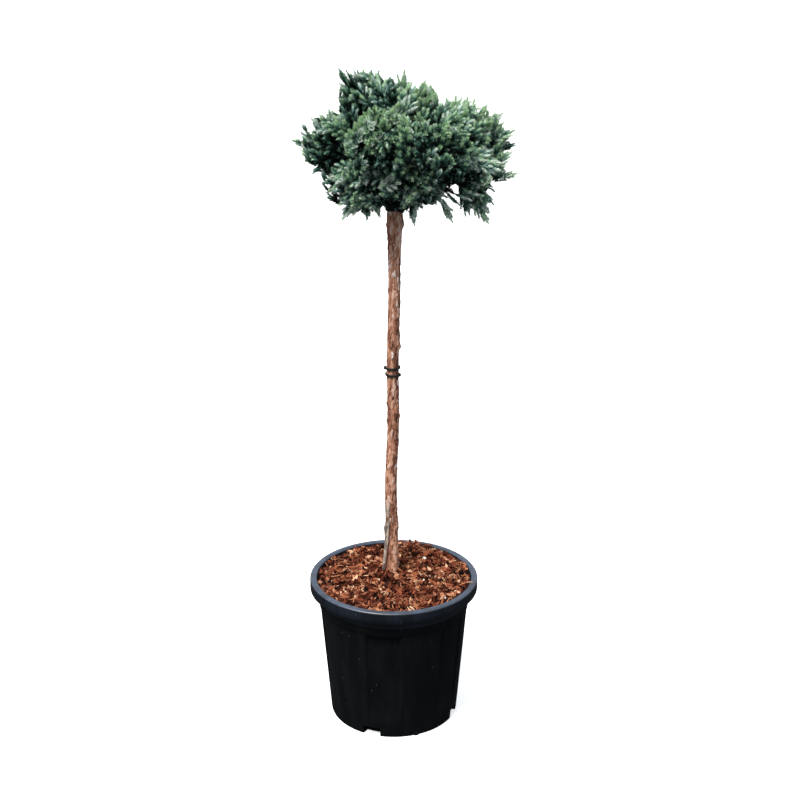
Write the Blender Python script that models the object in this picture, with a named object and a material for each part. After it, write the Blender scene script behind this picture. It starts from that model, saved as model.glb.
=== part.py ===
"""Potted juniper standard: a dense blue juniper head grafted on a clear stem, in a nursery pot.

Metres, +Z up. The origin is the centre of the pot's flat underside; -Y is the front.
The pot, its growing medium, the stem, two sets of rubber ties, one bough for each mass of
foliage, and the masses themselves are separate objects that stand 0.3 mm clear of each other.
"""

import math
import random
from collections import namedtuple

import bmesh
import bpy
from mathutils import Matrix, Vector, noise

GAP = 0.0003  # between pieces that touch
UP = Vector((0, 0, 1))

# Pot: a moulded container with a hooked rim, a plain collar and a fluted body.
POT_HEIGHT = 0.237
POT_WALL = 0.0022
POT_FLOOR = 0.003
POT_SEGMENTS = 32
FOOT_RADIUS = 0.1037
BODY_RADIUS = 0.1192  # where the body meets the collar
COLLAR_FOOT = 0.188
COLLAR_STEP = 0.0012
COLLAR_RADIUS = 0.1220  # at the rim's lower edge
RIM_RADIUS = 0.135
RIM_MOUTH = 0.1238
RIM_DEPTH = 0.019
RIM_WALL = 0.0026
FLUTE_COUNT = 6
FLUTE_FIRST = 52.0  # degrees round from the front, towards +X
FLUTE_SPAN = 29.0
FLUTE_DEPTH = 0.003
FLUTE_FOOT = 0.022
NOTCH_COUNT = 4
NOTCH_FIRST = -20.0
NOTCH_WIDTH = 0.028
NOTCH_HEIGHT = 0.015
NOTCH_DEPTH = 0.012
DRAIN_WIDTH = 0.014
DRAIN_DEPTH = 0.005

# Growing medium: coarse bark and fibre, filling the pot to just under the rim.
SOIL_LEVEL = 0.231
SOIL_RISE = 0.006  # how far the mulch heaps up round the stem's foot
SOIL_ROUGHNESS = 0.0045
SOIL_RINGS = 4

# Stem.
TRUNK_FOOT = Vector((-0.0047, 0.016, SOIL_LEVEL))
TRUNK_HEAD = Vector((0.003, 0.004, 0.868))
TRUNK_RADIUS = 0.0093
TRUNK_FLARE = 0.0042
FLARE_HEIGHT = 0.058
GRAFT_HEIGHT = 0.842
GRAFT_SWELL = 0.0027  # below the graft
SWELL_HEIGHT = 0.816
SWELL_SPAN = 0.044
TRUNK_SWAY = 0.0018
SWAY_LENGTH = 0.21
FLUTING = 0.13  # share of the radius that the foot's ridges stand out
FLUTING_HEIGHT = 0.085
TRUNK_SIDES = 12
TRUNK_RINGS = 36
KNOT_COUNT = 12
KNOT_SIZE = 0.0022

# Rubber ties round the stem: level, depth and height of the section, tilt in degrees and its side.
Tie = namedtuple("Tie", "name level depth height tilt facing")
TIES = (
    Tie("tie_middle_upper", 0.5838, 0.0022, 0.0048, 2.5, 90.0),
    Tie("tie_middle_lower", 0.5730, 0.0024, 0.0050, 6.0, -75.0),
    Tie("tie_graft", 0.8330, 0.0030, 0.0100, 7.0, 70.0),
)
TIE_SEGMENTS = 16
TIE_SIDES = 6

# Boughs.
FORK_TOP_SPREAD = 0.0058  # of those that leave the stem's flat top, round its middle
BOUGH_ROOT = 0.0028
BOUGH_TIP = 0.0018
BOUGH_SIDES = 6
BOUGH_RINGS = 4
LEAST_BOUGH = 0.034  # from the hub to a bough's tip
BOUGH_SHARE = 0.70  # of a mass's half size that it reaches in from its own centre

# Masses of foliage: centre, half size, the height where their bough leaves the stem (None for its
# flat top), and their furthest tips.
HUB = Vector((0.003, 0.004, 0.862))
Mass = namedtuple("Mass", "name centre half_size fork leaders")
MASSES = (
    Mass(
        "foliage_top_left",
        (-0.034, 0.020, 0.980),
        (0.052, 0.054, 0.049),
        None,
        (
            (-0.078, 0.020, 1.029),
            (-0.056, 0.018, 1.026),
            (-0.031, 0.018, 1.028),
            (-0.004, 0.014, 1.018),
            (-0.079, 0.016, 0.989),
        ),
    ),
    Mass(
        "foliage_top_right",
        (0.028, 0.011, 0.970),
        (0.044, 0.050, 0.047),
        None,
        ((0.016, 0.010, 1.028), (0.046, 0.006, 1.014), (0.056, 0.004, 0.996)),
    ),
    Mass(
        "foliage_right_upper",
        (0.104, 0.006, 0.938),
        (0.064, 0.056, 0.050),
        0.8600,
        (
            (0.090, 0.006, 0.992),
            (0.107, 0.004, 0.991),
            (0.135, 0.002, 0.980),
            (0.158, 0.000, 0.969),
            (0.175, 0.000, 0.944),
            (0.178, 0.020, 0.920),
        ),
    ),
    Mass(
        "foliage_right_lower",
        (0.118, -0.016, 0.878),
        (0.050, 0.054, 0.044),
        0.8520,
        (
            (0.179, -0.020, 0.886),
            (0.166, -0.012, 0.902),
            (0.170, -0.024, 0.917),
            (0.147, -0.028, 0.860),
            (0.139, -0.030, 0.813),
            (0.111, -0.032, 0.827),
        ),
    ),
    Mass(
        "foliage_low_right",
        (0.070, -0.050, 0.866),
        (0.034, 0.038, 0.034),
        0.8445,
        ((0.085, -0.056, 0.821), (0.061, -0.060, 0.847)),
    ),
    Mass(
        "foliage_left_upper",
        (-0.090, 0.002, 0.930),
        (0.048, 0.056, 0.044),
        0.8600,
        (
            (-0.146, 0.000, 0.930),
            (-0.118, 0.000, 0.962),
            (-0.092, 0.002, 0.973),
            (-0.127, -0.004, 0.901),
            (-0.117, -0.020, 0.884),
        ),
    ),
    Mass(
        "foliage_left_lower",
        (-0.050, -0.030, 0.872),
        (0.053, 0.052, 0.046),
        0.8470,
        (
            (-0.074, -0.030, 0.819),
            (-0.038, -0.032, 0.819),
            (-0.021, -0.050, 0.829),
            (-0.085, -0.034, 0.859),
        ),
    ),
    Mass(
        "foliage_front_centre",
        (-0.014, -0.078, 0.938),
        (0.052, 0.052, 0.050),
        0.8600,
        (),
    ),
    Mass(
        "foliage_front_right",
        (0.064, -0.072, 0.922),
        (0.050, 0.052, 0.047),
        0.8600,
        (),
    ),
    Mass(
        "foliage_front_low",
        (0.024, -0.062, 0.880),
        (0.042, 0.044, 0.036),
        0.8460,
        ((0.031, -0.062, 0.817), (0.040, -0.070, 0.847)),
    ),
    Mass(
        "foliage_back_left",
        (-0.066, 0.084, 0.902),
        (0.060, 0.058, 0.056),
        0.8480,
        (),
    ),
    Mass(
        "foliage_back_centre",
        (0.018, 0.104, 0.930),
        (0.060, 0.054, 0.060),
        None,
        (),
    ),
    Mass(
        "foliage_back_right",
        (0.098, 0.080, 0.902),
        (0.060, 0.058, 0.054),
        0.8480,
        (),
    ),
)

# How the masses grow.
SPRAY_COUNT = 22  # on a whole mass, before those that leave its space are skipped
SPRAY_LENGTH = (0.040, 0.052)
SPRAY_WIDTH = 0.50  # share of its length
SPRAY_THICKNESS = 0.24
SPRAY_ROLLS = 8
LEADER_SPACE = 0.014
TIP_MARGIN = 0.0035  # least depth of a tip inside its mass's space
SPRAY_SINK = 0.30  # share of a spray that its twig runs into
TWIG_RADIUS = 0.0016
STEM_SIDES = 5
CROWD_REACH = 0.20  # how much further than its ellipsoid a mass grows in the corner beside another
CROWD_NEAR = 1.0  # room, in reaches of the ellipsoid, up to which it grows that much further
CROWD_FAR = 1.35  # and from which it grows no further
CORE_SHARE = 0.62  # of the way to the mass's outline, where it stands free
CORE_CROWDED = 0.88  # where it faces another mass
CORE_MARGIN = 0.0012
CORE_ROUGHNESS = 0.10
LIFT = 0.30  # how strongly shoots turn up at the top of the crown, and down under it
CROWN_WAIST = 0.885  # height above which they turn up
CLEARANCE = 0.0006  # half the least space between two masses
SEED = 7

GOLDEN_ANGLE = math.pi * (3 - math.sqrt(5))

COLOURS = {
    "pot": ((0.012, 0.013, 0.016), 0.55),
    "mulch": ((0.17, 0.065, 0.035), 0.95),
    "bark": ((0.27, 0.135, 0.095), 0.85),
    "rubber": ((0.01, 0.01, 0.011), 0.6),
    "foliage": ((0.075, 0.16, 0.115), 0.7),
}


# Shared tools.


def make_material(name):
    colour, roughness = COLOURS[name]
    material = bpy.data.materials.new(name)
    material.use_nodes = True
    shader = material.node_tree.nodes["Principled BSDF"]
    shader.inputs["Base Color"].default_value = (*colour, 1)
    shader.inputs["Roughness"].default_value = roughness
    shader.inputs["Metallic"].default_value = 0.0
    return material


def add_object(name, bm, material=None):
    """Turns a bmesh into an object, with its faces pointing out."""
    bmesh.ops.recalc_face_normals(bm, faces=bm.faces)
    mesh = bpy.data.meshes.new(name)
    bm.to_mesh(mesh)
    bm.free()
    obj = bpy.data.objects.new(name, mesh)
    bpy.context.scene.collection.objects.link(obj)
    if material:
        mesh.materials.append(material)
        mesh.shade_smooth()
        mesh.set_sharp_from_angle(angle=math.radians(40))
    return obj


def add_cutter(name, bm):
    cutter = add_object(name, bm)
    cutter.hide_render = True
    cutter.display_type = "WIRE"
    return cutter


def cut(obj, cutter):
    modifier = obj.modifiers.new("cut_" + cutter.name, "BOOLEAN")
    modifier.operation = "DIFFERENCE"
    modifier.solver = "EXACT"
    modifier.object = cutter


def spin_profile(profile, segments):
    """A solid of revolution from (radius, height) points that start and end on the axis."""
    bm = bmesh.new()
    points = [bm.verts.new((radius, 0, height)) for radius, height in profile]
    edges = [bm.edges.new(pair) for pair in zip(points, points[1:])]
    bmesh.ops.spin(
        bm,
        geom=points + edges,
        cent=(0, 0, 0),
        axis=UP,
        angle=math.tau,
        steps=segments,
        use_merge=True,
    )
    bmesh.ops.remove_doubles(bm, verts=bm.verts, dist=1e-6)
    return bm


def skin_rings(rings):
    """A closed skin over rings of points, each ring with as many points as the next."""
    bm = bmesh.new()
    rows = [[bm.verts.new(point) for point in ring] for ring in rings]
    count = len(rows[0])
    for lower, upper in zip(rows, rows[1:]):
        for k in range(count):
            following = (k + 1) % count
            bm.faces.new((lower[k], lower[following], upper[following], upper[k]))
    bm.faces.new(rows[0][::-1])
    bm.faces.new(rows[-1])
    bmesh.ops.triangulate(bm, faces=[face for face in bm.faces if len(face.verts) > 4])
    return bm


def ring_points(centre, heading, radius, sides, turn=0.0):
    """Points of a circle round centre, square to heading."""
    facing = heading.to_track_quat("Z", "X").to_matrix()
    for k in range(sides):
        angle = turn + math.tau * k / sides
        yield centre + facing @ Vector((math.cos(angle), math.sin(angle), 0)) * radius


def around(degrees, radius, height=0.0):
    """A point at an angle round from the front, towards +X."""
    angle = math.radians(degrees)
    return Vector((math.sin(angle) * radius, -math.cos(angle) * radius, height))


# Pot.


def body_radius(height):
    return FOOT_RADIUS + (BODY_RADIUS - FOOT_RADIUS) * height / COLLAR_FOOT


def pot_outline():
    """The outside of the pot, with the rim's hook, as if the pot were solid."""
    rim_foot = POT_HEIGHT - RIM_DEPTH
    crest = (RIM_RADIUS + RIM_MOUTH) / 2
    return (
        (0, 0),
        (FOOT_RADIUS - 0.0015, 0),
        (FOOT_RADIUS, 0.0015),
        (BODY_RADIUS, COLLAR_FOOT),
        (BODY_RADIUS + COLLAR_STEP, COLLAR_FOOT + 0.0008),
        (COLLAR_RADIUS, rim_foot),
        (RIM_MOUTH + POT_WALL, POT_HEIGHT - 0.009),
        (RIM_MOUTH + POT_WALL + 0.001, POT_HEIGHT - RIM_WALL - 0.001),
        (RIM_RADIUS - RIM_WALL, POT_HEIGHT - RIM_WALL - 0.001),
        (RIM_RADIUS - RIM_WALL, rim_foot),
        (RIM_RADIUS - 0.0006, rim_foot),
        (RIM_RADIUS, rim_foot + 0.001),
        (RIM_RADIUS, POT_HEIGHT - 0.0045),
        (RIM_RADIUS - 0.0012, POT_HEIGHT - 0.0018),
        (crest + 0.0018, POT_HEIGHT),
        (crest - 0.0018, POT_HEIGHT),
        (RIM_MOUTH + 0.0010, POT_HEIGHT - 0.0016),
        (0, POT_HEIGHT - 0.0016),
    )


def cavity_outline():
    return (
        (0, POT_FLOOR),
        (body_radius(POT_FLOOR) - POT_WALL, POT_FLOOR),
        (BODY_RADIUS - POT_WALL, COLLAR_FOOT),
        (COLLAR_RADIUS - POT_WALL, POT_HEIGHT - RIM_DEPTH),
        (RIM_MOUTH, POT_HEIGHT - 0.009),
        (RIM_MOUTH, POT_HEIGHT + 0.02),
        (0, POT_HEIGHT + 0.02),
    )


def flute_cutter(number, grown):
    """The block that makes one flute, or the room round it when it is grown by a wall."""
    middle = FLUTE_FIRST + number * 360 / FLUTE_COUNT
    half_span = FLUTE_SPAN / 2 + math.degrees(grown / BODY_RADIUS)
    draft = 2.2
    low, high = FLUTE_FOOT - grown, COLLAR_FOOT - 0.0015 + grown
    steps = 3
    rings = []
    for height, shrink in ((low, 1.5), (low + 0.008, 0), (high - 0.008, 0), (high, 1.5)):
        inner_span, outer_span = half_span - draft - shrink, half_span - shrink
        depth = FLUTE_DEPTH + grown
        inner = [
            around(middle + inner_span * (2 * k / steps - 1), body_radius(height) - depth, height)
            for k in range(steps + 1)
        ]
        outer = [
            around(middle + outer_span * (1 - 2 * k / steps), RIM_RADIUS + 0.01, height)
            for k in range(steps + 1)
        ]
        rings.append(inner + outer)
    return skin_rings(rings)


def box_cutter(degrees, radius, low, high, depth, width):
    """A box that stands across the wall at an angle, from radius - depth outwards."""
    bm = bmesh.new()
    bmesh.ops.create_cube(bm, size=1)
    reach = depth + 0.02
    size = Matrix.Diagonal((width, reach, high - low, 1))
    place = Matrix.Translation((0, -(radius - depth + reach / 2), (low + high) / 2))
    turn = Matrix.Rotation(math.radians(degrees), 4, "Z")
    bmesh.ops.transform(bm, matrix=turn @ place @ size, verts=bm.verts)
    return bm


def pot_hollows(prefix, grown):
    """The cutters of the flutes and foot notches, each grown by a wall thickness."""
    cutters = []
    for number in range(FLUTE_COUNT):
        cutters.append(add_cutter(f"{prefix}_flute_{number}", flute_cutter(number, grown)))
    for number in range(NOTCH_COUNT):
        notch = box_cutter(
            NOTCH_FIRST + number * 360 / NOTCH_COUNT,
            FOOT_RADIUS,
            -0.01,
            NOTCH_HEIGHT + grown,
            NOTCH_DEPTH + grown,
            NOTCH_WIDTH + 2 * grown,
        )
        cutters.append(add_cutter(f"{prefix}_notch_{number}", notch))
    return cutters


def make_pot(material):
    cavity = add_cutter("pot_cavity", spin_profile(cavity_outline(), POT_SEGMENTS))
    for cutter in pot_hollows("wall", POT_WALL):
        cut(cavity, cutter)
    pot = add_object("pot", spin_profile(pot_outline(), POT_SEGMENTS), material)
    cut(pot, cavity)
    for cutter in pot_hollows("outside", 0.0):
        cut(pot, cutter)
    for number in range(NOTCH_COUNT):
        drain = bmesh.new()
        bmesh.ops.create_cube(drain, size=1)
        size = Matrix.Diagonal((DRAIN_WIDTH, DRAIN_DEPTH, 0.012, 1))
        place = Matrix.Translation((0, -(FOOT_RADIUS - NOTCH_DEPTH / 2), NOTCH_HEIGHT))
        degrees = NOTCH_FIRST + number * 360 / NOTCH_COUNT
        turn = Matrix.Rotation(math.radians(degrees), 4, "Z")
        bmesh.ops.transform(drain, matrix=turn @ place @ size, verts=drain.verts)
        cut(pot, add_cutter(f"drain_{number}", drain))
    return pot


def soil_height(point):
    """The lumpy top of the growing medium, heaped round the flat seat of the stem."""
    from_stem = math.hypot(point.x - TRUNK_FOOT.x, point.y - TRUNK_FOOT.y)
    heap = SOIL_RISE * math.exp(-(((from_stem - 0.026) / 0.03) ** 2))
    lumps = noise.noise(Vector((point.x, point.y, 0.37)) * 55) * SOIL_ROUGHNESS
    return SOIL_LEVEL + heap + lumps


def make_soil(material):
    """The medium is a skin over rings: up the pot's inside, then in to the stem's seat."""
    count = POT_SEGMENTS
    bottom = POT_FLOOR + GAP
    walls = (
        (body_radius(bottom) - POT_WALL - GAP, bottom),
        (BODY_RADIUS - POT_WALL - GAP, COLLAR_FOOT),
        (COLLAR_RADIUS - POT_WALL - GAP, POT_HEIGHT - RIM_DEPTH),
    )
    rings = [[around(360 * k / count, radius, height) for k in range(count)] for radius, height in walls]
    edge_radius = RIM_MOUTH - GAP * 2
    seat = (TRUNK_RADIUS + TRUNK_FLARE) * (1 + FLUTING) + 0.0018
    for step in range(SOIL_RINGS + 1):
        share = step / SOIL_RINGS
        middle = Vector((0, 0, 0)).lerp(Vector((TRUNK_FOOT.x, TRUNK_FOOT.y, 0)), share)
        radius = edge_radius * (1 - share) + seat * share
        ring = [around(360 * k / count, radius) + middle for k in range(count)]
        for point in ring:
            point.z = soil_height(point)
        rings.append(ring)
    edge = [point.copy() for point in rings[-1]]
    for point in edge:
        inward = Vector((TRUNK_FOOT.x - point.x, TRUNK_FOOT.y - point.y, 0)).normalized()
        point += inward * 0.0005
        point.z = SOIL_LEVEL - GAP
    rings.append(edge)
    soil = add_object("growing_medium", skin_rings(rings), material)
    for cutter in pot_hollows("medium", POT_WALL + GAP):
        cut(soil, cutter)
    return soil


# Stem.


def trunk_axis(height):
    rise = (height - TRUNK_FOOT.z) / (TRUNK_HEAD.z - TRUNK_FOOT.z)
    middle = TRUNK_FOOT.lerp(TRUNK_HEAD, rise)
    wave = math.cos(math.tau * (height - 0.39) / SWAY_LENGTH)
    middle.x -= TRUNK_SWAY * wave * (1 - rise) * min(1, rise * 6)
    return middle


def trunk_radius(height):
    above = height - TRUNK_FOOT.z
    flare = TRUNK_FLARE * math.exp(-above / FLARE_HEIGHT)
    graft = GRAFT_SWELL * math.exp(-(((height - SWELL_HEIGHT) / SWELL_SPAN) ** 2))
    return TRUNK_RADIUS + flare + graft


def make_trunk(material):
    """A swaying, tapering stem with ridges at its foot and the stubs of cut side shoots."""
    rng = random.Random(SEED)
    knots = [
        (rng.uniform(TRUNK_FOOT.z + 0.05, GRAFT_HEIGHT - 0.02), rng.uniform(0, math.tau))
        for _ in range(KNOT_COUNT)
    ]
    knots = [knot for knot in knots if all(abs(knot[0] - tie.level) > 0.018 for tie in TIES)]
    rings = []
    for step in range(TRUNK_RINGS + 1):
        height = TRUNK_FOOT.z + (TRUNK_HEAD.z - TRUNK_FOOT.z) * step / TRUNK_RINGS
        middle = trunk_axis(height)
        ridges = FLUTING * math.exp(-(height - TRUNK_FOOT.z) / FLUTING_HEIGHT)
        ring = []
        for k in range(TRUNK_SIDES):
            angle = math.tau * k / TRUNK_SIDES
            radius = trunk_radius(height) * (1 + ridges * math.cos(3 * angle + 0.9 + height * 6))
            for knot_height, knot_angle in knots:
                off = ((height - knot_height) / 0.011) ** 2
                turn = math.remainder(angle - knot_angle, math.tau)
                radius += KNOT_SIZE * math.exp(-off - (turn / 0.42) ** 2)
            ring.append(middle + Vector((math.cos(angle), math.sin(angle), 0)) * radius)
        rings.append(ring)
    return add_object("trunk", skin_rings(rings), material)


def make_tie(tie, material):
    """A ring of rubber round the stem, a little tilted."""
    middle = trunk_axis(tie.level)
    reach = trunk_radius(tie.level) * 1.012 + GAP + tie.depth / 2
    tilt = Matrix.Rotation(math.radians(tie.tilt), 3, around(tie.facing - 90, 1))
    bm = bmesh.new()
    rows = []
    for k in range(TIE_SEGMENTS):
        outward = around(360 * k / TIE_SEGMENTS, 1)
        row = []
        for side in range(TIE_SIDES):
            angle = math.tau * side / TIE_SIDES
            out, up = math.cos(angle) * tie.depth / 2, math.sin(angle) * tie.height / 2
            row.append(bm.verts.new(middle + tilt @ (outward * (reach + out) + UP * up)))
        rows.append(row)
    for k, row in enumerate(rows):
        following = rows[(k + 1) % TIE_SEGMENTS]
        for side in range(TIE_SIDES):
            after = (side + 1) % TIE_SIDES
            bm.faces.new((row[side], row[after], following[after], following[side]))
    return add_object(tie.name, bm, material)


# Boughs and masses.


def mass_heading(mass):
    return (Vector(mass.centre) - HUB).normalized()


def mass_reach(mass, direction):
    """How far a mass's ellipsoid reaches from its centre in a direction."""
    return 1 / Vector(d / h for d, h in zip(direction, mass.half_size)).length


def fuller_reach(mass, planes, direction, margin=0.0):
    """The room in a direction, how crowded it is there, and the mass's outline, fuller where it is."""
    centre = Vector(mass.centre)
    outline = mass_reach(mass, direction)
    room = outline * 2
    for on_plane, normal in planes:
        towards = direction.dot(normal)
        if towards > 1e-6:
            room = min(room, ((on_plane - centre).dot(normal) - margin) / towards)
    crowding = min(1, max(0, (CROWD_FAR - room / outline) / (CROWD_FAR - CROWD_NEAR)))
    return room, crowding, outline * (1 + CROWD_REACH * crowding)


def bough_length(mass):
    """From the hub to the bough's tip, which is where the mass's own space begins."""
    span = (Vector(mass.centre) - HUB).length
    return max(LEAST_BOUGH, span - BOUGH_SHARE * mass_reach(mass, mass_heading(mass)))


def mass_planes(mass):
    """The planes that bound a mass's own space, as (point, outward normal)."""
    centre = Vector(mass.centre)
    planes = [(bough_tip(mass) + mass_heading(mass) * GAP, -mass_heading(mass))]
    for other in MASSES:
        if other is mass:
            continue
        apart = (Vector(other.centre) - centre).normalized()
        mine, theirs = mass_reach(mass, apart), mass_reach(other, apart)
        share = mine / (mine + theirs)
        planes.append((centre.lerp(Vector(other.centre), share) - apart * CLEARANCE, apart))
    for start, end, radius in limb_pieces(mass):
        nearest = nearest_on(start, end, centre)
        apart = (nearest - centre).normalized()
        planes.append((nearest - apart * (radius + 2 * CLEARANCE), apart))
    return planes


def nearest_on(start, end, point):
    """The nearest place to a point on the straight piece from start to end."""
    along = end - start
    share = (point - start).dot(along) / along.length_squared
    return start + along * min(1, max(0, share))


def limb_pieces(mass):
    """The stem's head and every bough but the mass's own, as straight pieces with a radius."""
    low, high = TRUNK_HEAD.z - 0.14, TRUNK_HEAD.z
    yield trunk_axis(low), trunk_axis(high), trunk_radius(GRAFT_HEIGHT) * 1.05
    for other in MASSES:
        if other is mass:
            continue
        line = [point for point, facing, radius in bough_line(other)]
        for start, end in zip(line, line[1:]):
            yield start, end, BOUGH_ROOT


def inside(point, planes, margin=0.0):
    return all((point - on_plane).dot(normal) < -margin for on_plane, normal in planes)


def bough_root(mass):
    """Where a bough leaves the stem, and the way it sets out."""
    level = HUB + mass_heading(mass)
    sideways = Vector((level.x - HUB.x, level.y - HUB.y, 0)).normalized()
    if mass.fork is None:
        return trunk_axis(TRUNK_HEAD.z) + sideways * FORK_TOP_SPREAD + UP * GAP, UP
    return trunk_axis(mass.fork) + sideways * (trunk_radius(mass.fork) + GAP), sideways


def bough_tip(mass):
    return HUB + mass_heading(mass) * bough_length(mass)


def bough_line(mass):
    """Places along a bough that bends from its root to its heading, with facing and radius."""
    root, setting_out = bough_root(mass)
    heading, tip = mass_heading(mass), bough_tip(mass)
    bend = root + setting_out * (tip - root).length * 0.4
    for step in range(BOUGH_RINGS + 1):
        share = step / BOUGH_RINGS
        middle = root.lerp(bend, share).lerp(bend.lerp(tip, share), share)
        facing = setting_out.lerp(heading, share).normalized()
        yield middle, facing, BOUGH_ROOT + (BOUGH_TIP - BOUGH_ROOT) * share


def make_bough(mass, material):
    rings = [list(ring_points(*place, BOUGH_SIDES)) for place in bough_line(mass)]
    return add_object(mass.name.replace("foliage", "bough"), skin_rings(rings), material)


def sphere_directions(count, rng):
    """Directions spread evenly over a sphere, each a little off its place."""
    for k in range(count):
        height = 1 - (2 * k + 1) / count
        ring = math.sqrt(1 - height * height)
        turn = k * GOLDEN_ANGLE
        even = Vector((ring * math.cos(turn), ring * math.sin(turn), height))
        stray = Vector((rng.gauss(0, 1), rng.gauss(0, 1), rng.gauss(0, 1)))
        yield (even + stray * 0.10).normalized()


Spray = namedtuple("Spray", "root heading across length fork")


def spray_tips(mass, planes, rng):
    """The mass's leaders, then tips on its outline that stand clear of them."""
    centre = Vector(mass.centre)
    leaders = [Vector(leader) for leader in mass.leaders]
    yield from leaders
    for direction in sphere_directions(SPRAY_COUNT, rng):
        room, crowding, outline = fuller_reach(mass, planes, direction, TIP_MARGIN)
        tip = centre + direction * min(room, outline * rng.uniform(0.93, 1.07))
        if all((tip - leader).length > LEADER_SPACE for leader in leaders):
            yield tip


def shape_spray(mass, tip, rng):
    """A spray that ends at a tip, on a twig that forks from the mass's stem."""
    centre = Vector(mass.centre)
    length = rng.uniform(*SPRAY_LENGTH)
    lift = LIFT if tip.z > CROWN_WAIST else -LIFT * 0.6
    outward = (tip - centre).normalized() + (tip - HUB).normalized() * 0.6
    heading = (outward + UP * lift).normalized()
    fork = bough_tip(mass).lerp(centre, rng.uniform(0.35, 1.0))
    across = heading.orthogonal().normalized()
    across.rotate(Matrix.Rotation(rng.uniform(0, math.tau), 3, heading))
    return Spray(tip - heading * length, heading, across, length, fork)


def grow_sprays(mass):
    """The sprays of one mass; one that leaves the mass's space is rolled over, then skipped."""
    rng = random.Random(f"{SEED} {mass.name}")
    planes = mass_planes(mass)
    for tip in spray_tips(mass, planes, rng):
        spray = shape_spray(mass, tip, rng)
        if not inside(spray.fork, planes, 2 * TWIG_RADIUS):
            continue
        for attempt in range(SPRAY_ROLLS):
            if all(inside(point, planes, 0.0005) for point in spray_points(spray)):
                yield spray
                break
            spray.across.rotate(Matrix.Rotation(math.pi / SPRAY_ROLLS, 3, spray.heading))


def spray_points(spray):
    """A shoot with two pairs of side shoots: a toothed outline, then its two raised middles."""
    half = spray.length * SPRAY_WIDTH / 2
    side = ((0.0, 0.3), (0.60, 1.0), (0.55, 0.46), (0.83, 0.70), (0.75, 0.28))
    outline = [*side, (1.0, 0.0), *((along, -out) for along, out in reversed(side))]
    points = [
        spray.root + spray.heading * along * spray.length + spray.across * out * half
        for along, out in outline
    ]
    middle = spray.root + spray.heading * spray.length * 0.45
    thick = spray.heading.cross(spray.across) * spray.length * SPRAY_THICKNESS / 2
    return [*points, middle + thick, middle - thick]


def make_blade(name, spray):
    """A toothed blade, thickest along its middle."""
    bm = bmesh.new()
    *rim, top, bottom = [bm.verts.new(point) for point in spray_points(spray)]
    for first, second in zip(rim, rim[1:] + rim[:1]):
        bm.faces.new((first, second, top))
        bm.faces.new((second, first, bottom))
    return add_object(name, bm)


def make_twig(name, spray):
    """A three-sided twig from the mass's stem into the spray."""
    end = spray.root + spray.heading * spray.length * SPRAY_SINK
    heading = (end - spray.fork).normalized()
    rings = [
        list(ring_points(spray.fork, heading, TWIG_RADIUS * 1.3, 3)),
        list(ring_points(end, heading, TWIG_RADIUS * 0.8, 3)),
    ]
    return add_object(name, skin_rings(rings))


def make_core(name, mass, material):
    """The dense inside of a mass: it swells towards its neighbours, but keeps to its own space."""
    centre = Vector(mass.centre)
    planes = mass_planes(mass)
    bm = bmesh.new()
    bmesh.ops.create_icosphere(bm, subdivisions=2, radius=1)
    for vert in bm.verts:
        direction = vert.co.normalized()
        room, crowding, outline = fuller_reach(mass, planes, direction, CORE_MARGIN)
        lumps = 1 + CORE_ROUGHNESS * noise.noise(centre * 40 + direction * 2.3)
        share = CORE_SHARE + (CORE_CROWDED - CORE_SHARE) * crowding
        vert.co = centre + direction * min(room, outline * share * lumps)
    return add_object(name, bm, material)


def make_stem(name, mass):
    heading = mass_heading(mass)
    base = bough_tip(mass) + heading * GAP
    rings = [
        list(ring_points(base, heading, BOUGH_TIP, STEM_SIDES)),
        list(ring_points(Vector(mass.centre), heading, BOUGH_TIP * 0.7, STEM_SIDES)),
    ]
    return add_object(name, skin_rings(rings))


def keep_largest_shell(mesh):
    """Drops loose scraps and sealed hollows that the union left."""
    bm = bmesh.new()
    bm.from_mesh(mesh)
    left, shells = set(bm.verts), []
    while left:
        shell, edge = set(), [left.pop()]
        while edge:
            vert = edge.pop()
            shell.add(vert)
            near = {link.other_vert(vert) for link in vert.link_edges} & left
            left -= near
            edge.extend(near)
        shells.append(shell)
    largest = max(shells, key=len)
    loose = [vert for shell in shells if shell is not largest for vert in shell]
    bmesh.ops.delete(bm, geom=loose, context="VERTS")
    bm.to_mesh(mesh)
    bm.free()


def make_mass(mass, material):
    """Fuses the stem, core, twigs and sprays of a mass into one solid."""
    node = make_core(mass.name, mass, material)
    pieces = bpy.data.collections.new(mass.name + "_pieces")
    bpy.context.scene.collection.children.link(pieces)
    made = [make_stem(mass.name + "_stem", mass)]
    for number, spray in enumerate(grow_sprays(mass)):
        made.append(make_twig(f"{mass.name}_twig_{number}", spray))
        made.append(make_blade(f"{mass.name}_blade_{number}", spray))
    for piece in made:
        bpy.context.scene.collection.objects.unlink(piece)
        pieces.objects.link(piece)
    union = node.modifiers.new("join", "BOOLEAN")
    union.operation = "UNION"
    union.solver = "EXACT"
    union.operand_type = "COLLECTION"
    union.collection = pieces
    bpy.context.view_layer.update()
    graph = bpy.context.evaluated_depsgraph_get()
    fused = bpy.data.meshes.new_from_object(node.evaluated_get(graph))
    node.modifiers.clear()
    node.data = fused
    keep_largest_shell(fused)
    for piece in made:
        bpy.data.objects.remove(piece)
    bpy.data.collections.remove(pieces)
    fused.set_sharp_from_angle(angle=math.radians(30))
    return node


def main():
    for obj in list(bpy.data.objects):
        bpy.data.objects.remove(obj)
    materials = {name: make_material(name) for name in COLOURS}
    make_pot(materials["pot"])
    make_soil(materials["mulch"])
    make_trunk(materials["bark"])
    for tie in TIES:
        make_tie(tie, materials["rubber"])
    for mass in MASSES:
        make_bough(mass, materials["bark"])
        make_mass(mass, materials["foliage"])


main()
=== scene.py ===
import math
import random
from collections import namedtuple

import bpy
import numpy as np
from mathutils import Matrix, Vector, noise


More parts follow.
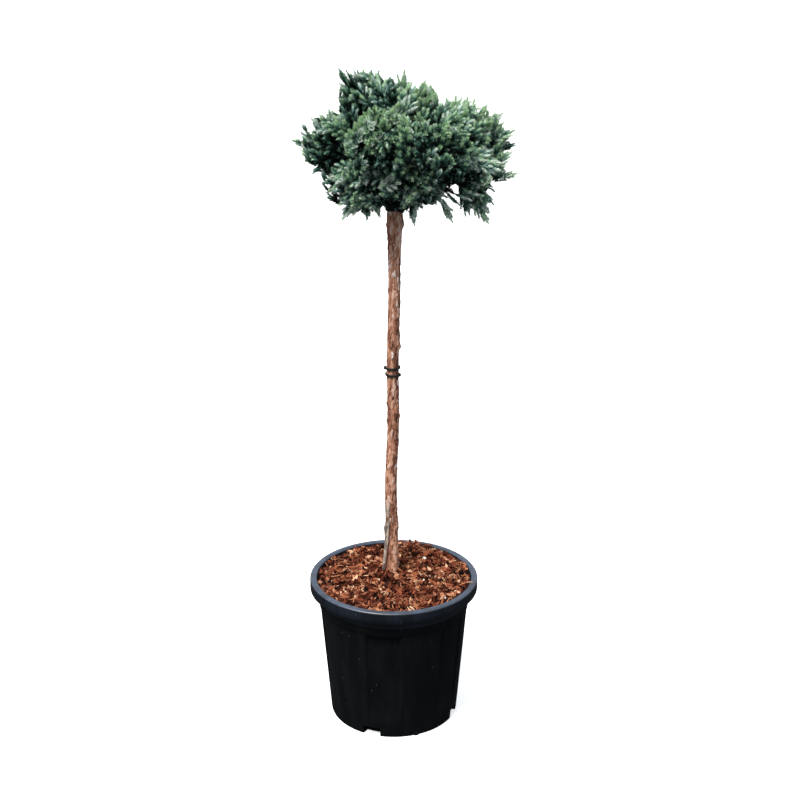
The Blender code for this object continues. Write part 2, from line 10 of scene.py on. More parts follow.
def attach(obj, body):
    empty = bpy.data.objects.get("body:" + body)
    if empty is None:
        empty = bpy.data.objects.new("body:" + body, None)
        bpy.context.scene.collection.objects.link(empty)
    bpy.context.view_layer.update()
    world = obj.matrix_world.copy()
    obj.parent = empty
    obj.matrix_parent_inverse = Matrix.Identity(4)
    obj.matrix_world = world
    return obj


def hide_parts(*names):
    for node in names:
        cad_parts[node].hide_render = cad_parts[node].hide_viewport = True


# Potted juniper standard: a grafted blue juniper head on a clear stem, in a nursery pot.
# Metres, +Z up, the origin under the middle of the pot, -Y to the front.

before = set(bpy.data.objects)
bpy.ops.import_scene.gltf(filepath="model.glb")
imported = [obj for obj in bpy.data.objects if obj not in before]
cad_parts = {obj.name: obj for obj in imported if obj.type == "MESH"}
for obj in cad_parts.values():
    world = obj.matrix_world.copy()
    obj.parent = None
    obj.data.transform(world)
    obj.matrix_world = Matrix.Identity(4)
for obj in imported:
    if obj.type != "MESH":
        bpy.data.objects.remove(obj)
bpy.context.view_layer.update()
up = Vector((0, 0, 1))
noise.seed_set(7)  # noise vectors differ from run to run without it


def toLinear(hexColour):
    # sRGB hex to the linear values that a shader works in
    channels = [int(hexColour[k:k + 2], 16) / 255 for k in (1, 3, 5)]
    return (*(c / 12.92 if c <= 0.04045 else ((c + 0.055) / 1.055) ** 2.4 for c in channels), 1.0)


def addNode(tree, kind, inputs=None, links=None, stops=None, **settings):
    # one node with its settings, its input values, its links and, on a ramp, its colour stops
    node = tree.nodes.new("ShaderNode" + kind)
    for name, value in settings.items():
        setattr(node, name, value)
    for socket, value in (inputs or {}).items():
        node.inputs[socket].default_value = value
    for socket, (other, output) in (links or {}).items():
        tree.links.new(other.outputs[output], node.inputs[socket])
    for number, (place, hexColour) in enumerate(stops or ()):
        elements = node.color_ramp.elements
        element = elements[number] if number < 2 else elements.new(place)
        element.position = place
        element.color = toLinear(hexColour)
    return node


def newMaterial(name, hexColour, roughness, specular, **sockets):
    # a Principled surface; what is the same all over stays on the shader's own sockets
    material = bpy.data.materials.new(name)
    material.use_nodes = True
    shader = material.node_tree.nodes["Principled BSDF"]
    shader.inputs["Base Color"].default_value = toLinear(hexColour)
    shader.inputs["Roughness"].default_value = roughness
    shader.inputs["Specular IOR Level"].default_value = specular
    for socket, value in sockets.items():
        shader.inputs[socket.replace("_", " ")].default_value = value
    return material, material.node_tree, shader


def tintedMaterials(name, tints, roughness, specular):
    # numbered materials that differ in colour alone
    return [newMaterial(f"{name} {k}", tint, roughness, specular)[0] for k, tint in enumerate(tints)]


def grainyMaterial(name, hexColour, roughness, specular, grain, stops, relief, **sockets):
    # a surface whose colour and relief follow one noise; relief is how strong and how deep it is
    material, tree, shader = newMaterial(name, hexColour, roughness, specular, **sockets)
    place = addNode(tree, "TexCoord")
    cloud = addNode(tree, "TexNoise", grain, {"Vector": (place, "Object")})
    tone = addNode(tree, "ValToRGB", links={"Fac": (cloud, "Fac")}, stops=stops)
    tree.links.new(tone.outputs["Color"], shader.inputs["Base Color"])
    bump = addNode(tree, "Bump", {"Strength": relief[0], "Distance": relief[1]}, {"Height": (cloud, "Fac")})
    tree.links.new(bump.outputs["Normal"], shader.inputs["Normal"])
    return material


def meshFromArrays(name, points, faces, materials, faceMaterials=None, smooth=False, values=None):
    # an object from arrays: points (n, 3), faces (m, 3 or 4), and named values for each point
    points = np.ascontiguousarray(points, np.float32)
    faces = np.ascontiguousarray(faces, np.int32)
    mesh = bpy.data.meshes.new(name)
    mesh.vertices.add(len(points))
    mesh.vertices.foreach_set("co", points.ravel())
    mesh.loops.add(faces.size)
    mesh.loops.foreach_set("vertex_index", faces.ravel())
    mesh.polygons.add(len(faces))
    mesh.polygons.foreach_set("loop_start", np.arange(0, faces.size, faces.shape[1], dtype=np.int32))
    for material in materials:
        mesh.materials.append(material)
    if faceMaterials is not None:
        mesh.polygons.foreach_set("material_index", np.ascontiguousarray(faceMaterials, np.int32))
    mesh.polygons.foreach_set("use_smooth", np.full(len(faces), smooth))
    for label, numbers in (values or {}).items():
        attribute = mesh.attributes.new(label, "FLOAT", "POINT")
        attribute.data.foreach_set("value", np.ascontiguousarray(numbers, np.float32))
    mesh.update(calc_edges=True)
    mesh.validate()
    piece = bpy.data.objects.new(name, mesh)
    bpy.context.scene.collection.objects.link(piece)
    return piece


def settle(piece, slot, *nodes):
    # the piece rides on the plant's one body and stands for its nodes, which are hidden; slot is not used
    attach(piece, "root")
    if nodes:
        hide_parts(*nodes)


def around(degrees, radius, height=0.0):
    # a place at an angle round from the front, towards +X
    angle = math.radians(degrees)
    return Vector((math.sin(angle) * radius, -math.cos(angle) * radius, height))


def clamped(value):
    return min(1, max(0, value))


def smoothStep(values):
    share = np.clip(values, 0, 1)
    return share * share * (3 - 2 * share)


def unit(vectors):
    return vectors / np.maximum(np.linalg.norm(vectors, axis=-1, keepdims=True), 1e-12)


def sidesOf(heading):
    # two directions for each heading, at right angles to it and to each other
    helper = np.where(np.abs(heading[:, 2:3]) > 0.8, [[1.0, 0, 0]], [[0, 0, 1.0]])
    side = unit(np.cross(heading, helper))
    return side, np.cross(heading, side)


def gridFaces(rows, columns, closed=True):
    # quads over rows of points, each row running round a closed ring
    row, column = np.meshgrid(np.arange(rows - 1), np.arange(columns if closed else columns - 1),
                              indexing="ij")
    first = row * columns + column
    second = row * columns + (column + 1) % columns
    return np.stack([first, second, second + columns, first + columns], -1).reshape(-1, 4)


def repeatedFaces(one, count, stride):
    # the faces of one shape, for each of many copies whose points follow one another
    one = np.array(one)
    return (one[None] + np.arange(count)[:, None, None] * stride).reshape(-1, one.shape[1])


def skinRings(rings):
    # triangles over closed rings (rows, columns, 3), and a fan to a middle point at each end
    rows, columns, _ = rings.shape
    count = rows * columns
    quads = gridFaces(rows, columns)
    ring, middle = np.arange(columns), np.full(columns, count)
    after = (ring + 1) % columns
    top = count - columns
    faces = [quads[:, [0, 1, 2]], quads[:, [0, 2, 3]], np.stack([after, ring, middle], -1),
             np.stack([top + ring, top + after, middle + 1], -1)]
    points = [rings.reshape(-1, 3), rings[0].mean(0)[None], rings[-1].mean(0)[None]]
    return np.concatenate(points), np.concatenate(faces)


def tubes(paths, radii, sides):
    # triangles of many closed tubes: paths (tubes, steps, 3), radii (tubes, steps)
    count, steps, _ = paths.shape
    side, other = sidesOf(unit(paths[:, -1] - paths[:, 0]))
    angles = math.tau * np.arange(sides) / sides
    ring = side[:, None] * np.cos(angles)[:, None] + other[:, None] * np.sin(angles)[:, None]
    points = paths[:, :, None] + ring[:, None] * radii[:, :, None, None]
    quads = gridFaces(steps, sides)
    fan = np.array([[0, k + 1, k] for k in range(1, sides - 1)])
    ends = np.concatenate([fan, (steps - 1) * sides + fan[:, ::-1]])
    one = np.concatenate([quads[:, [0, 1, 2]], quads[:, [0, 2, 3]], ends])
    return points.reshape(-1, 3), repeatedFaces(one, count, steps * sides)


stage = {
    "cameraPlace": (0.0100, -1.8948, 1.1764),
    "cameraPitch": 18.73,  # degrees down
    "lens": 58.41,
    "farthest": 400,  # that the camera sees
    "floorSize": 240.0,
    "floorLevel": -0.0003,
    "floorGlow": 0.50,
    "skyColour": (0.93, 0.975, 1.04, 1),
    "skyStrength": 0.85,
    "groundGlow": 0.05,  # light that comes back from below, so undersides stay deep
    "sunColour": (1.0, 0.965, 0.915),
    "sunStrength": 4.0,
    "sunAngle": 18.0,  # degrees across: a broad soft lamp
    "sunFrom": (-0.50, -0.62, 1.15),
}


def setStage():
    scene = bpy.context.scene
    scene.view_settings.view_transform = "Standard"
    camera = bpy.data.objects.new("camera", bpy.data.cameras.new("camera"))
    camera.data.lens = stage["lens"]
    camera.data.clip_end = stage["farthest"]
    camera.location = stage["cameraPlace"]
    camera.rotation_euler = (math.radians(90 - stage["cameraPitch"]), 0, 0)
    scene.collection.objects.link(camera)
    scene.camera = camera

    lamp = bpy.data.lights.new("softSun", "SUN")
    lamp.energy = stage["sunStrength"]
    lamp.angle = math.radians(stage["sunAngle"])
    lamp.color = stage["sunColour"]
    sun = bpy.data.objects.new("softSun", lamp)
    sun.rotation_euler = Vector(stage["sunFrom"]).to_track_quat("Z", "Y").to_euler()
    scene.collection.objects.link(sun)

    world = bpy.data.worlds.new("studio")
    scene.world = world
    world.use_nodes = True
    tree = world.node_tree
    tree.nodes.clear()
    place = addNode(tree, "TexCoord")
    split = addNode(tree, "SeparateXYZ", links={"Vector": (place, "Generated")})
    horizon = {"From Min": -0.06, "From Max": 0.0, "To Min": stage["groundGlow"],
               "To Max": stage["skyStrength"]}
    rise = addNode(tree, "MapRange", horizon, {"Value": (split, "Z")})
    sky = addNode(tree, "Background", {"Color": stage["skyColour"]}, {"Strength": (rise, "Result")})
    addNode(tree, "OutputWorld", links={"Surface": (sky, "Background")})

    corners = np.array([(-1, -1, 0), (1, -1, 0), (1, 1, 0), (-1, 1, 0)]) * stage["floorSize"]
    corners[:, 2] = stage["floorLevel"]
    # uncoated paper: an even white with no sheen
    paper = newMaterial("matt white paper", "#f9f9f9", 0.9, 0.5, Emission_Color=(1, 1, 1, 1),
                        Emission_Strength=stage["floorGlow"])[0]
    floor = meshFromArrays("floor", corners, [[0, 1, 2, 3]], [paper])
    floor.visible_diffuse = False  # the floor throws no light back, and so the undersides stay deep
    floor.visible_glossy = False


# The pot: black polypropylene, injection moulded, with a smooth hooked rim and a fluted body.
pot = {
    "height": 0.237,
    "wall": 0.0022,
    "floor": 0.003,
    "segments": 216,
    "footRadius": 0.1037,
    "footRound": 0.0015,
    "bodyRadius": 0.1192,
    "collarFoot": 0.188,
    "collarStep": 0.0012,
    "collarRadius": 0.1220,
    "rimRadius": 0.135,
    "rimMouth": 0.1238,
    "rimDepth": 0.019,
    "rimWall": 0.0026,
    "rimRound": 0.0034,
    "fluteCount": 6,
    "fluteFirst": 52.0,
    "fluteSpan": 29.0,
    "fluteDraft": 2.2,
    "fluteDepth": 0.003,
    "fluteFoot": 0.022,
    "fluteFade": 0.030,  # they run out gently towards the foot
    "fluteStop": 0.0015,  # and end sharply, this far under the collar
    "fluteHead": 0.0022,
    "notchCount": 4,
    "notchFirst": -20.0,
    "notchWidth": 0.028,
    "notchHeight": 0.015,
    "notchDepth": 0.012,
    "notchEdge": 0.0008,
    "sharpAngle": 42,  # degrees: the moulded edges that stay crisp
    "topLevel": 0.45,  # how level a face of the rim is that takes the painted sky sheen of its top
}
footLug = {
    "facing": 20.5,
    "halfWidth": 0.0042,
    "setIn": 0.0025,
    # height, reach outward and share of the width, from its foot to its top
    "rings": ((0, 0.0038, 1.0), (0.0032, 0.0040, 1.0), (0.0046, 0.0036, 0.92), (0.0052, 0.0022, 0.8)),
}


def bodyRadius(height):
    slope = (pot["bodyRadius"] - pot["footRadius"]) / pot["collarFoot"]
    return pot["footRadius"] + slope * height


def offAngle(degrees, middle):
    return np.abs((degrees - middle + 180) % 360 - 180)


def middlesOf(kind):
    # the angles of the flutes' or the notches' middles
    count = pot[kind + "Count"]
    return [pot[kind + "First"] + number * 360 / count for number in range(count)]


def hollow(degrees, height, grown=0.0):
    # how far the flutes and foot notches sink in at a place; grown makes room round them for the wall
    wider = math.degrees(grown / pot["bodyRadius"])
    flute, notch = np.zeros_like(degrees), np.zeros_like(degrees)
    for middle in middlesOf("flute"):
        within = pot["fluteSpan"] / 2 + wider - offAngle(degrees, middle)
        flute = np.maximum(flute, smoothStep(within / pot["fluteDraft"]))
    rise = smoothStep((height - pot["fluteFoot"] + grown) / pot["fluteFade"])
    fall = smoothStep((pot["collarFoot"] - pot["fluteStop"] + grown - height) / pot["fluteHead"])
    half, edge = pot["notchWidth"] / 2 + grown, pot["notchEdge"]
    for middle in middlesOf("notch"):
        off = np.radians(offAngle(degrees, middle)) * pot["footRadius"]
        notch = np.maximum(notch, smoothStep((half + edge / 2 - off) / edge))
    under = smoothStep((pot["notchHeight"] + grown + edge / 2 - height) / edge)
    return np.maximum(flute * rise * fall * pot["fluteDepth"], notch * under * (pot["notchDepth"] + grown))


def potAngles():
    # even steps, with closer ones where a flute or a notch turns in
    angles = list(np.arange(pot["segments"]) * 360 / pot["segments"])
    notchEdge = math.degrees(pot["notchWidth"] / 2 / pot["footRadius"])
    for kind, edge, steps in (("flute", pot["fluteSpan"] / 2, (0.3, -0.4, -1.1, -1.8, -2.5)),
                              ("notch", notchEdge, (-0.6, -0.25, 0, 0.25, 0.6))):
        for middle in middlesOf(kind):
            angles += [middle + side * (edge + step) for side in (-1, 1) for step in steps]
    angles = np.unique(np.round(np.array(angles) % 360, 2))
    return angles[np.append(np.diff(angles) > 0.12, True)]


def arcPoints(centre, radius, first, last, steps):
    angles = np.radians(np.linspace(first, last, steps))
    return [(centre[0] + radius * math.cos(a), centre[1] + radius * math.sin(a)) for a in angles]


def bodyHeights(low, high):
    # heights up the wall, close together where the notches' roofs and the flutes' ends are
    close = [0.0144, 0.0148, 0.0152, 0.0156, 0.0166, 0.0172, 0.0176, 0.0212, 0.0219, 0.0226, 0.0234, 0.0242]
    close += [0.1842, 0.1850, 0.1858, 0.1866, 0.1874, *np.arange(0.030, 0.18, 0.010)]
    return [low, *(h for h in sorted(close) if low + 0.0006 < h < high - 0.0004), high]


def ringAt(degrees, radius, height):
    angle = np.radians(degrees)
    radius = np.broadcast_to(radius, degrees.shape)
    return np.stack([np.sin(angle) * radius, -np.cos(angle) * radius, np.full_like(angle, height)], -1)


def wallRing(degrees, height, inner=False, gap=0.0):
    # a ring on the outer or inner face of the fluted wall, gap metres inside it
    wall = pot["wall"] if inner else 0.0
    return ringAt(degrees, bodyRadius(height) - wall - hollow(degrees, height, wall) - gap, height)


def rimProfile():
    # radius and height, from the step of the collar over the hook of the rim and down into the mouth
    foot, top, wall, bend = pot["collarFoot"], pot["height"], pot["rimWall"], pot["rimRound"]
    body, collar, outside, mouth = pot["bodyRadius"], pot["collarRadius"], pot["rimRadius"], pot["rimMouth"]
    rimFoot = top - pot["rimDepth"]
    return [(body + pot["collarStep"] * 0.7, foot + 0.0003), (body + pot["collarStep"], foot + 0.0009),
            ((body + collar) / 2 + 0.0005, (foot + rimFoot) / 2), (collar, rimFoot),
            (mouth + pot["wall"], top - 0.009), (mouth + pot["wall"] + 0.001, top - wall - 0.001),
            (outside - wall, top - wall - 0.001), (outside - wall, rimFoot + 0.0004),
            (outside - wall + 0.0006, rimFoot), (outside - 0.0007, rimFoot), (outside, rimFoot + 0.0008),
            (outside, rimFoot + 0.0080), *arcPoints((outside - bend, top - bend), bend, 0, 80, 7),
            *arcPoints((mouth + bend, top - bend), bend, 96, 180, 7), (mouth, top - 0.009)]


def makePot():
    degrees, bend, profile = potAngles(), pot["footRound"], rimProfile()
    foot = bodyRadius(0) - hollow(degrees, 0.0)
    rings = [ringAt(degrees, (pot["footRadius"] - 0.004) * 0.5, 0.0), ringAt(degrees, foot - 0.0040, 0.0)]
    rings += [ringAt(degrees, foot - bend + r, z) for r, z in arcPoints((0, bend), bend, -90, 0, 4)]
    rings += [wallRing(degrees, z) for z in bodyHeights(0.004, pot["collarFoot"])]
    rimStart, rimEnd = len(rings) + 2, len(rings) + len(profile)  # the collar's step is the body's
    rings += [ringAt(degrees, r, z) for r, z in profile]
    rings.append(ringAt(degrees, pot["collarRadius"] - pot["wall"], pot["height"] - pot["rimDepth"]))
    rings += [wallRing(degrees, z, True) for z in bodyHeights(pot["floor"], pot["collarFoot"])[::-1]]
    rings.append(ringAt(degrees, pot["footRadius"] * 0.5, pot["floor"]))
    points, faces = skinRings(np.array(rings))
    row = faces[:, 0] // len(degrees)
    isRim = (row >= rimStart) & (row < rimEnd) & (faces.max(1) < len(rings) * len(degrees))
    corners = points[faces]
    level = unit(np.cross(corners[:, 1] - corners[:, 0], corners[:, 2] - corners[:, 0]))[:, 2]
    # the rim's faces that look up take the painted sky sheen, a reflection painted into their colour
    skySheenTop = isRim & (level > pot["topLevel"])
    finishes = [potPlastic(*finish) for finish in potFinishes]
    piece = meshFromArrays("pot_moulded", points, faces, finishes, isRim.astype(int) + skySheenTop, smooth=True)
    piece.data.set_sharp_from_angle(angle=math.radians(pot["sharpAngle"]))
    settle(piece, "pot", "pot")
    makeFootLug(finishes[0])
    print(f"pot: {len(faces)} triangles")


def makeFootLug(material):
    # the small moulded stub at the foot's front edge
    outward, along = around(footLug["facing"], 1), around(footLug["facing"] + 90, 1)
    base = around(footLug["facing"], pot["footRadius"] - footLug["setIn"])
    half = footLug["halfWidth"]
    rings = [[base + outward * reach * math.cos(a) ** 0.6 + along * half * width * math.sin(a) + up * height
              for a in (math.radians(turn) for turn in np.linspace(-90, 90, 9))]
             for height, reach, width in footLug["rings"]]
    points, faces = skinRings(np.array(rings))
    settle(meshFromArrays("pot_foot_lug", points, faces[:, ::-1], [material]), "pot")


# Finish, base colour, roughness, specular level, its darkest and palest colour, and how its roughness runs.
# The body was moulded against a textured tool: near black and matt. The rim came from a polished tool, and
# takes a blue-grey sheen at a flat angle; the blue grey of its colour is partly a painted reflection of the
# sky. The rim's flat top is the palest: a painted sheen, the sky's reflection painted on the faces that look
# up.
potFinishes = (
    ("matt moulded", "#0b0c0e", 0.55, 0.14, "#060708", "#101216", (0.46, 0.66)),
    ("polished moulded", "#14171c", 0.36, 0.5, "#0b0f16", "#171e29", (0.32, 0.48)),
    ("rubbed and dusty", "#303b4b", 0.38, 0.8, "#222b39", "#3e4c61", (0.32, 0.48)),
)


def potPlastic(finish, hexColour, roughness, specular, dark, pale, rough):
    # black polypropylene, with cloudy handling wear, fine moulded grain and sparse dust
    name = f"black polypropylene, {finish}"
    material, tree, shader = newMaterial(name, hexColour, roughness, specular, IOR=1.49)
    place = addNode(tree, "TexCoord")
    # clouds of wear about 22 mm across, drawn out up the wall to 100 mm
    streaks = addNode(tree, "Mapping", {"Scale": (1, 1, 0.22)}, {"Vector": (place, "Object")})
    cloud = addNode(tree, "TexNoise", {"Scale": 45, "Detail": 6, "Roughness": 0.65},
                    {"Vector": (streaks, "Vector")})
    tone = addNode(tree, "ValToRGB", links={"Fac": (cloud, "Fac")}, stops=[(0.35, dark), (0.72, pale)])
    # dust and lime specks about 0.6 mm across, far apart
    cells = addNode(tree, "TexVoronoi", {"Scale": 260}, {"Vector": (place, "Object")})
    near = addNode(tree, "Math", {1: 0.17}, {0: (cells, "Distance")}, operation="LESS_THAN")
    pick = addNode(tree, "SeparateColor", links={"Color": (cells, "Color")})
    rare = addNode(tree, "Math", {1: 0.985}, {0: (pick, "Red")}, operation="GREATER_THAN")
    speck = addNode(tree, "Math", links={0: (near, "Value"), 1: (rare, "Value")}, operation="MULTIPLY")
    faint = addNode(tree, "Math", {1: 0.5}, {0: (speck, "Value")}, operation="MULTIPLY")
    mix = addNode(tree, "Mix", {"B": toLinear("#8d8a85")}, {"Factor": (faint, "Value"), "A": (tone, "Color")},
                  data_type="RGBA")
    tree.links.new(mix.outputs["Result"], shader.inputs["Base Color"])
    matt = addNode(tree, "MapRange", {"To Min": rough[0], "To Max": rough[1]}, {"Value": (cloud, "Fac")})
    tree.links.new(matt.outputs["Result"], shader.inputs["Roughness"])
    # moulded grain, 1.2 mm between bumps, coarser than life so that it shows
    grain = addNode(tree, "TexNoise", {"Scale": 800, "Detail": 2}, {"Vector": (place, "Object")})
    bump = addNode(tree, "Bump", {"Strength": 0.18, "Distance": 0.0003}, {"Height": (grain, "Fac")})
    tree.links.new(bump.outputs["Normal"], shader.inputs["Normal"])
    return material


# The growing medium: composted bark and coir, with chips, fibres, clods and perlite on it.
medium = {
    "seed": 41,
    "level": 0.231,
    "heap": 0.006,  # round the stem
    "heapFrom": 0.026,
    "heapWidth": 0.03,
    "lumps": 0.0045,
    "lumpScale": 55,
    "crumbs": 0.0042,
    "crumbScale": 100,
    "edgeRise": 0.0045,  # the right side is filled higher than the left
    "backHeap": 0.008,  # heaped higher behind the stem
    "backPlace": (0.022, 0.088),
    "backSpread": 0.0011,
    "rings": 58,
    "segments": 180,
    "wallGap": 0.0005,
    "floorGap": 0.0004,
    "edgeGap": 0.0006,
    "rimSpace": 0.003,  # what lies loose has its middle this far from the wall
    "leanGap": 0.0008,
    "stemSpace": 0.020,  # and this far from the middle of the stem
    "chipSpace": 0.0145,
}
trunkFoot = Vector((-0.0047, 0.016, medium["level"]))
trunkHead = Vector((0.003, 0.004, 0.868))


def soilHeight(x, y):
    # the lumpy top, heaped round the stem, as in the solid, with crumbs and pits added
    fromStem = math.hypot(x - trunkFoot.x, y - trunkFoot.y)
    heap = medium["heap"] * math.exp(-(((fromStem - medium["heapFrom"]) / medium["heapWidth"]) ** 2))
    lumps = noise.noise(Vector((x, y, 0.37)) * medium["lumpScale"]) * medium["lumps"]
    crumbs = noise.fractal(Vector((x, y, 1.9)) * medium["crumbScale"], 0.9, 2.1, 4) * medium["crumbs"]
    tilt = medium["edgeRise"] * (x + y * 0.4) / pot["rimMouth"] * 0.5
    backX, backY = medium["backPlace"]
    back = medium["backHeap"] * math.exp(-((x - backX) ** 2 + (y - backY) ** 2) / medium["backSpread"])
    return medium["level"] + heap + lumps + crumbs + tilt + back


def makeBed():
    degrees = np.arange(medium["segments"]) * 360 / medium["segments"]
    edge, low = pot["rimMouth"] - medium["edgeGap"], pot["floor"] + medium["floorGap"]
    gap = medium["wallGap"]
    rings = [ringAt(degrees, pot["footRadius"] * 0.45, low)]
    for height in (low, 0.018, 0.025, 0.10, pot["collarFoot"] - 0.004, pot["collarFoot"]):
        rings.append(wallRing(degrees, height, True, gap))
    rings.append(ringAt(degrees, pot["collarRadius"] - pot["wall"] - gap, pot["height"] - pot["rimDepth"]))
    for step in range(medium["rings"] + 1):
        share = step / medium["rings"]
        radius = edge * (1 - share ** 1.15) + 0.004 * share
        ring = ringAt(degrees, radius, 0) + np.array([trunkFoot.x * share, trunkFoot.y * share, 0])
        ring[:, 2] = [soilHeight(x, y) for x, y, _ in ring]
        if step == 0:
            ring[:, 2] -= 0.002
        rings.append(ring)
    points, faces = skinRings(np.array(rings))
    # composted bark and coir dust: soft brown crumbs 4 mm apart, near black where the relief is low: painted
    # shade in the pits
    fines = grainyMaterial("composted bark fines, loose", "#5a3022", 0.95, 0.12,
                           {"Scale": 230, "Detail": 7, "Roughness": 0.75},
                           [(0.36, "#080201"), (0.76, "#98634a"), (0.49, "#2c1007"), (0.60, "#603121")],
                           (0.9, 0.002))
    settle(meshFromArrays("mulch_bed", points, faces, [fines], smooth=True), "mulch", "growing_medium")
    print(f"mulch bed: {len(faces)} triangles")


def randomTurns(count, rng, flatness=1.0):
    # turning matrices; a low flatness keeps the pieces' short side near upright
    first = unit(rng.normal(size=(count, 3)) * [1, 1, flatness])
    lean = rng.normal(size=(count, 3)) * [flatness, flatness, 1]
    third = unit(lean - first * (lean * first).sum(1, keepdims=True))
    return np.stack([first, np.cross(third, first), third], 1)


def scatterPlaces(count, rng, least=medium["stemSpace"]):
    # places all over the medium, but not in the stem
    places, most = [], pot["rimMouth"] - medium["rimSpace"]
    while len(places) < count:
        radius, angle = most * math.sqrt(rng.random()), rng.random() * math.tau
        x, y = radius * math.cos(angle), radius * math.sin(angle)
        if math.hypot(x - trunkFoot.x, y - trunkFoot.y) > least:
            places.append((x, y, soilHeight(x, y)))
    return np.array(places)


def keepInPot(points):
    # pieces by the wall lean on it, and don't pass through
    radius = np.hypot(points[:, 0], points[:, 1])
    factor = np.minimum(1, (pot["rimMouth"] - medium["leanGap"]) / np.maximum(radius, 1e-9))
    points[:, :2] *= factor[:, None]
    return points


# Shreds of bark. Each has one of these tints: dark damp ones first, dry pale ones last.
chips = {
    "count": 2100,
    "halfSizes": ((0.0020, 0.0072), (0.0009, 0.0031), (0.0004, 0.0013)),
    "larger": 1.4,  # each seventh one is
    "ragged": 0.20,
    "bow": 0.0017,
    "flatness": 0.8,
    "lie": (-0.0006, 0.0026),  # how high their middles are over the bed
    "tints": ("#110502", "#290e07", "#4a2012", "#6e3724", "#935438", "#b57c5b", "#d6ad8b"),
    "usualTint": 2.75,
    "patchScale": 50,  # damp and dry patches about 20 mm wide
    "patchTint": 2.4,
    "strayTint": 1.55,
}


def makeChips(rng):
    # crooked slabs of six corners, most lying flat, some on edge
    count = chips["count"]
    corners = np.array([(-1, -0.2), (-0.45, -1), (0.5, -0.8), (1, 0.15), (0.4, 1), (-0.6, 0.75)])
    slab = np.array([(x, y, z) for z in (-1, 1) for x, y in corners])
    size = np.stack([rng.uniform(*limits, count) for limits in chips["halfSizes"]], -1)
    size[:: 7] *= chips["larger"]
    points = (slab[None] + rng.normal(0, chips["ragged"], (count, 12, 3))) * size[:, None]
    points[:, :, 2] += chips["bow"] * np.sin(points[:, :, 0] / size[:, None, 0] * 1.6)
    points = np.einsum("nvi,nij->nvj", points, randomTurns(count, rng, chips["flatness"]))
    places = scatterPlaces(count, rng, medium["chipSpace"])
    places[:, 2] += rng.uniform(*chips["lie"], count)
    points = keepInPot((points + places[:, None]).reshape(-1, 3))
    sides = [(k, (k + 1) % 6, (k + 1) % 6 + 6, k + 6) for k in range(6)]
    one = [(a, b, c) for a, b, c, d in sides] + [(a, c, d) for a, b, c, d in sides]
    one += [(0, k + 1, k) for k in range(1, 5)] + [(6, 6 + k, 7 + k) for k in range(1, 5)]
    faces = repeatedFaces(one, count, 12)
    patches = np.array([noise.noise(Vector(place) * chips["patchScale"] + Vector((3, 8, 1)))
                        for place in places])
    tint = chips["usualTint"] + chips["patchTint"] * patches + rng.normal(0, chips["strayTint"], count)
    picked = np.repeat(np.clip(np.round(tint), 0, 6).astype(int), len(one))
    # torn softwood bark: dull, each chip flat in colour, so that the bed looks loose and broken
    materials = tintedMaterials("shredded bark", chips["tints"], 0.9, 0.15)
    settle(meshFromArrays("mulch_chips", points, faces, materials, picked), "mulch")
    print(f"mulch chips: {len(faces)} triangles")


# Coir: thin bent fibres that lie across the chips in tufts, and one straw fallen across the rim.
fibres = {
    "count": 1400,
    "tuft": 9,
    "tuftWidth": 0.0042,
    "length": (0.006, 0.022),
    "radius": (0.0003, 0.00095),
    "lie": (0.0004, 0.0034),
    "bow": 0.35,
    "kink": 0.00035,
    "taper": (0.5, 0.9, 1, 1, 0.85, 0.4),
    "strayTurn": 0.55,  # radians, within a tuft
    "strayRise": 0.22,
    "tuftTint": (1.15, 0.7),
    "strayTint": 0.5,
    "tints": ("#48200f", "#7e4530", "#b07857", "#dcb592"),
    "straw": ((0.1085, -0.0335, 0.2372), (0.1150, -0.0322, 0.2384), (0.1210, -0.0312, 0.2387),
              (0.1262, -0.0300, 0.2380)),
    "strawRadii": (0.0005, 0.0008, 0.0008, 0.0004),
}


def makeFibres(rng):
    tuft = fibres["tuft"]
    middles = scatterPlaces(fibres["count"] // tuft, rng)
    count = len(middles) * tuft
    places = np.repeat(middles, tuft, 0) + rng.normal(0, fibres["tuftWidth"], (count, 3)) * [1, 1, 0]
    places[:, 2] = [soilHeight(x, y) for x, y, _ in places]
    places[:, 2] += rng.uniform(*fibres["lie"], count)
    length = rng.uniform(*fibres["length"], count)[:, None, None]
    turn = np.repeat(rng.uniform(0, math.tau, len(middles)), tuft)
    turn = turn + rng.normal(0, fibres["strayTurn"], count)
    heading = np.stack([np.cos(turn), np.sin(turn), rng.normal(0, fibres["strayRise"], count)], -1)
    bow = rng.normal(0, fibres["bow"], (count, 3)) * [1, 1, 0.45]
    share = np.linspace(-0.5, 0.5, len(fibres["taper"]))[:, None]
    paths = places[:, None] + heading[:, None] * (share * length) + bow[:, None] * (share ** 2 * length)
    paths = paths + rng.normal(0, fibres["kink"], paths.shape)
    thick = rng.uniform(*fibres["radius"], count)
    points, faces = tubes(paths, thick[:, None] * np.array(fibres["taper"]), 3)
    # retted coir: dry hairs that catch a little light on their sides
    materials = tintedMaterials("coir fibre", fibres["tints"], 0.85, 0.15)
    shade = np.repeat(rng.normal(*fibres["tuftTint"], len(middles)), tuft)
    shade = shade + rng.normal(0, fibres["strayTint"], count)
    picked = np.repeat(np.clip(np.round(shade), 0, 3).astype(int), len(faces) // count)
    settle(meshFromArrays("mulch_fibres", keepInPot(points), faces, materials, picked), "mulch")
    print(f"mulch fibres: {len(faces)} triangles")
    points, faces = tubes(np.array([fibres["straw"]]), np.array([fibres["strawRadii"]]), 5)
    settle(meshFromArrays("mulch_straw", points, faces, [materials[3]]), "mulch")


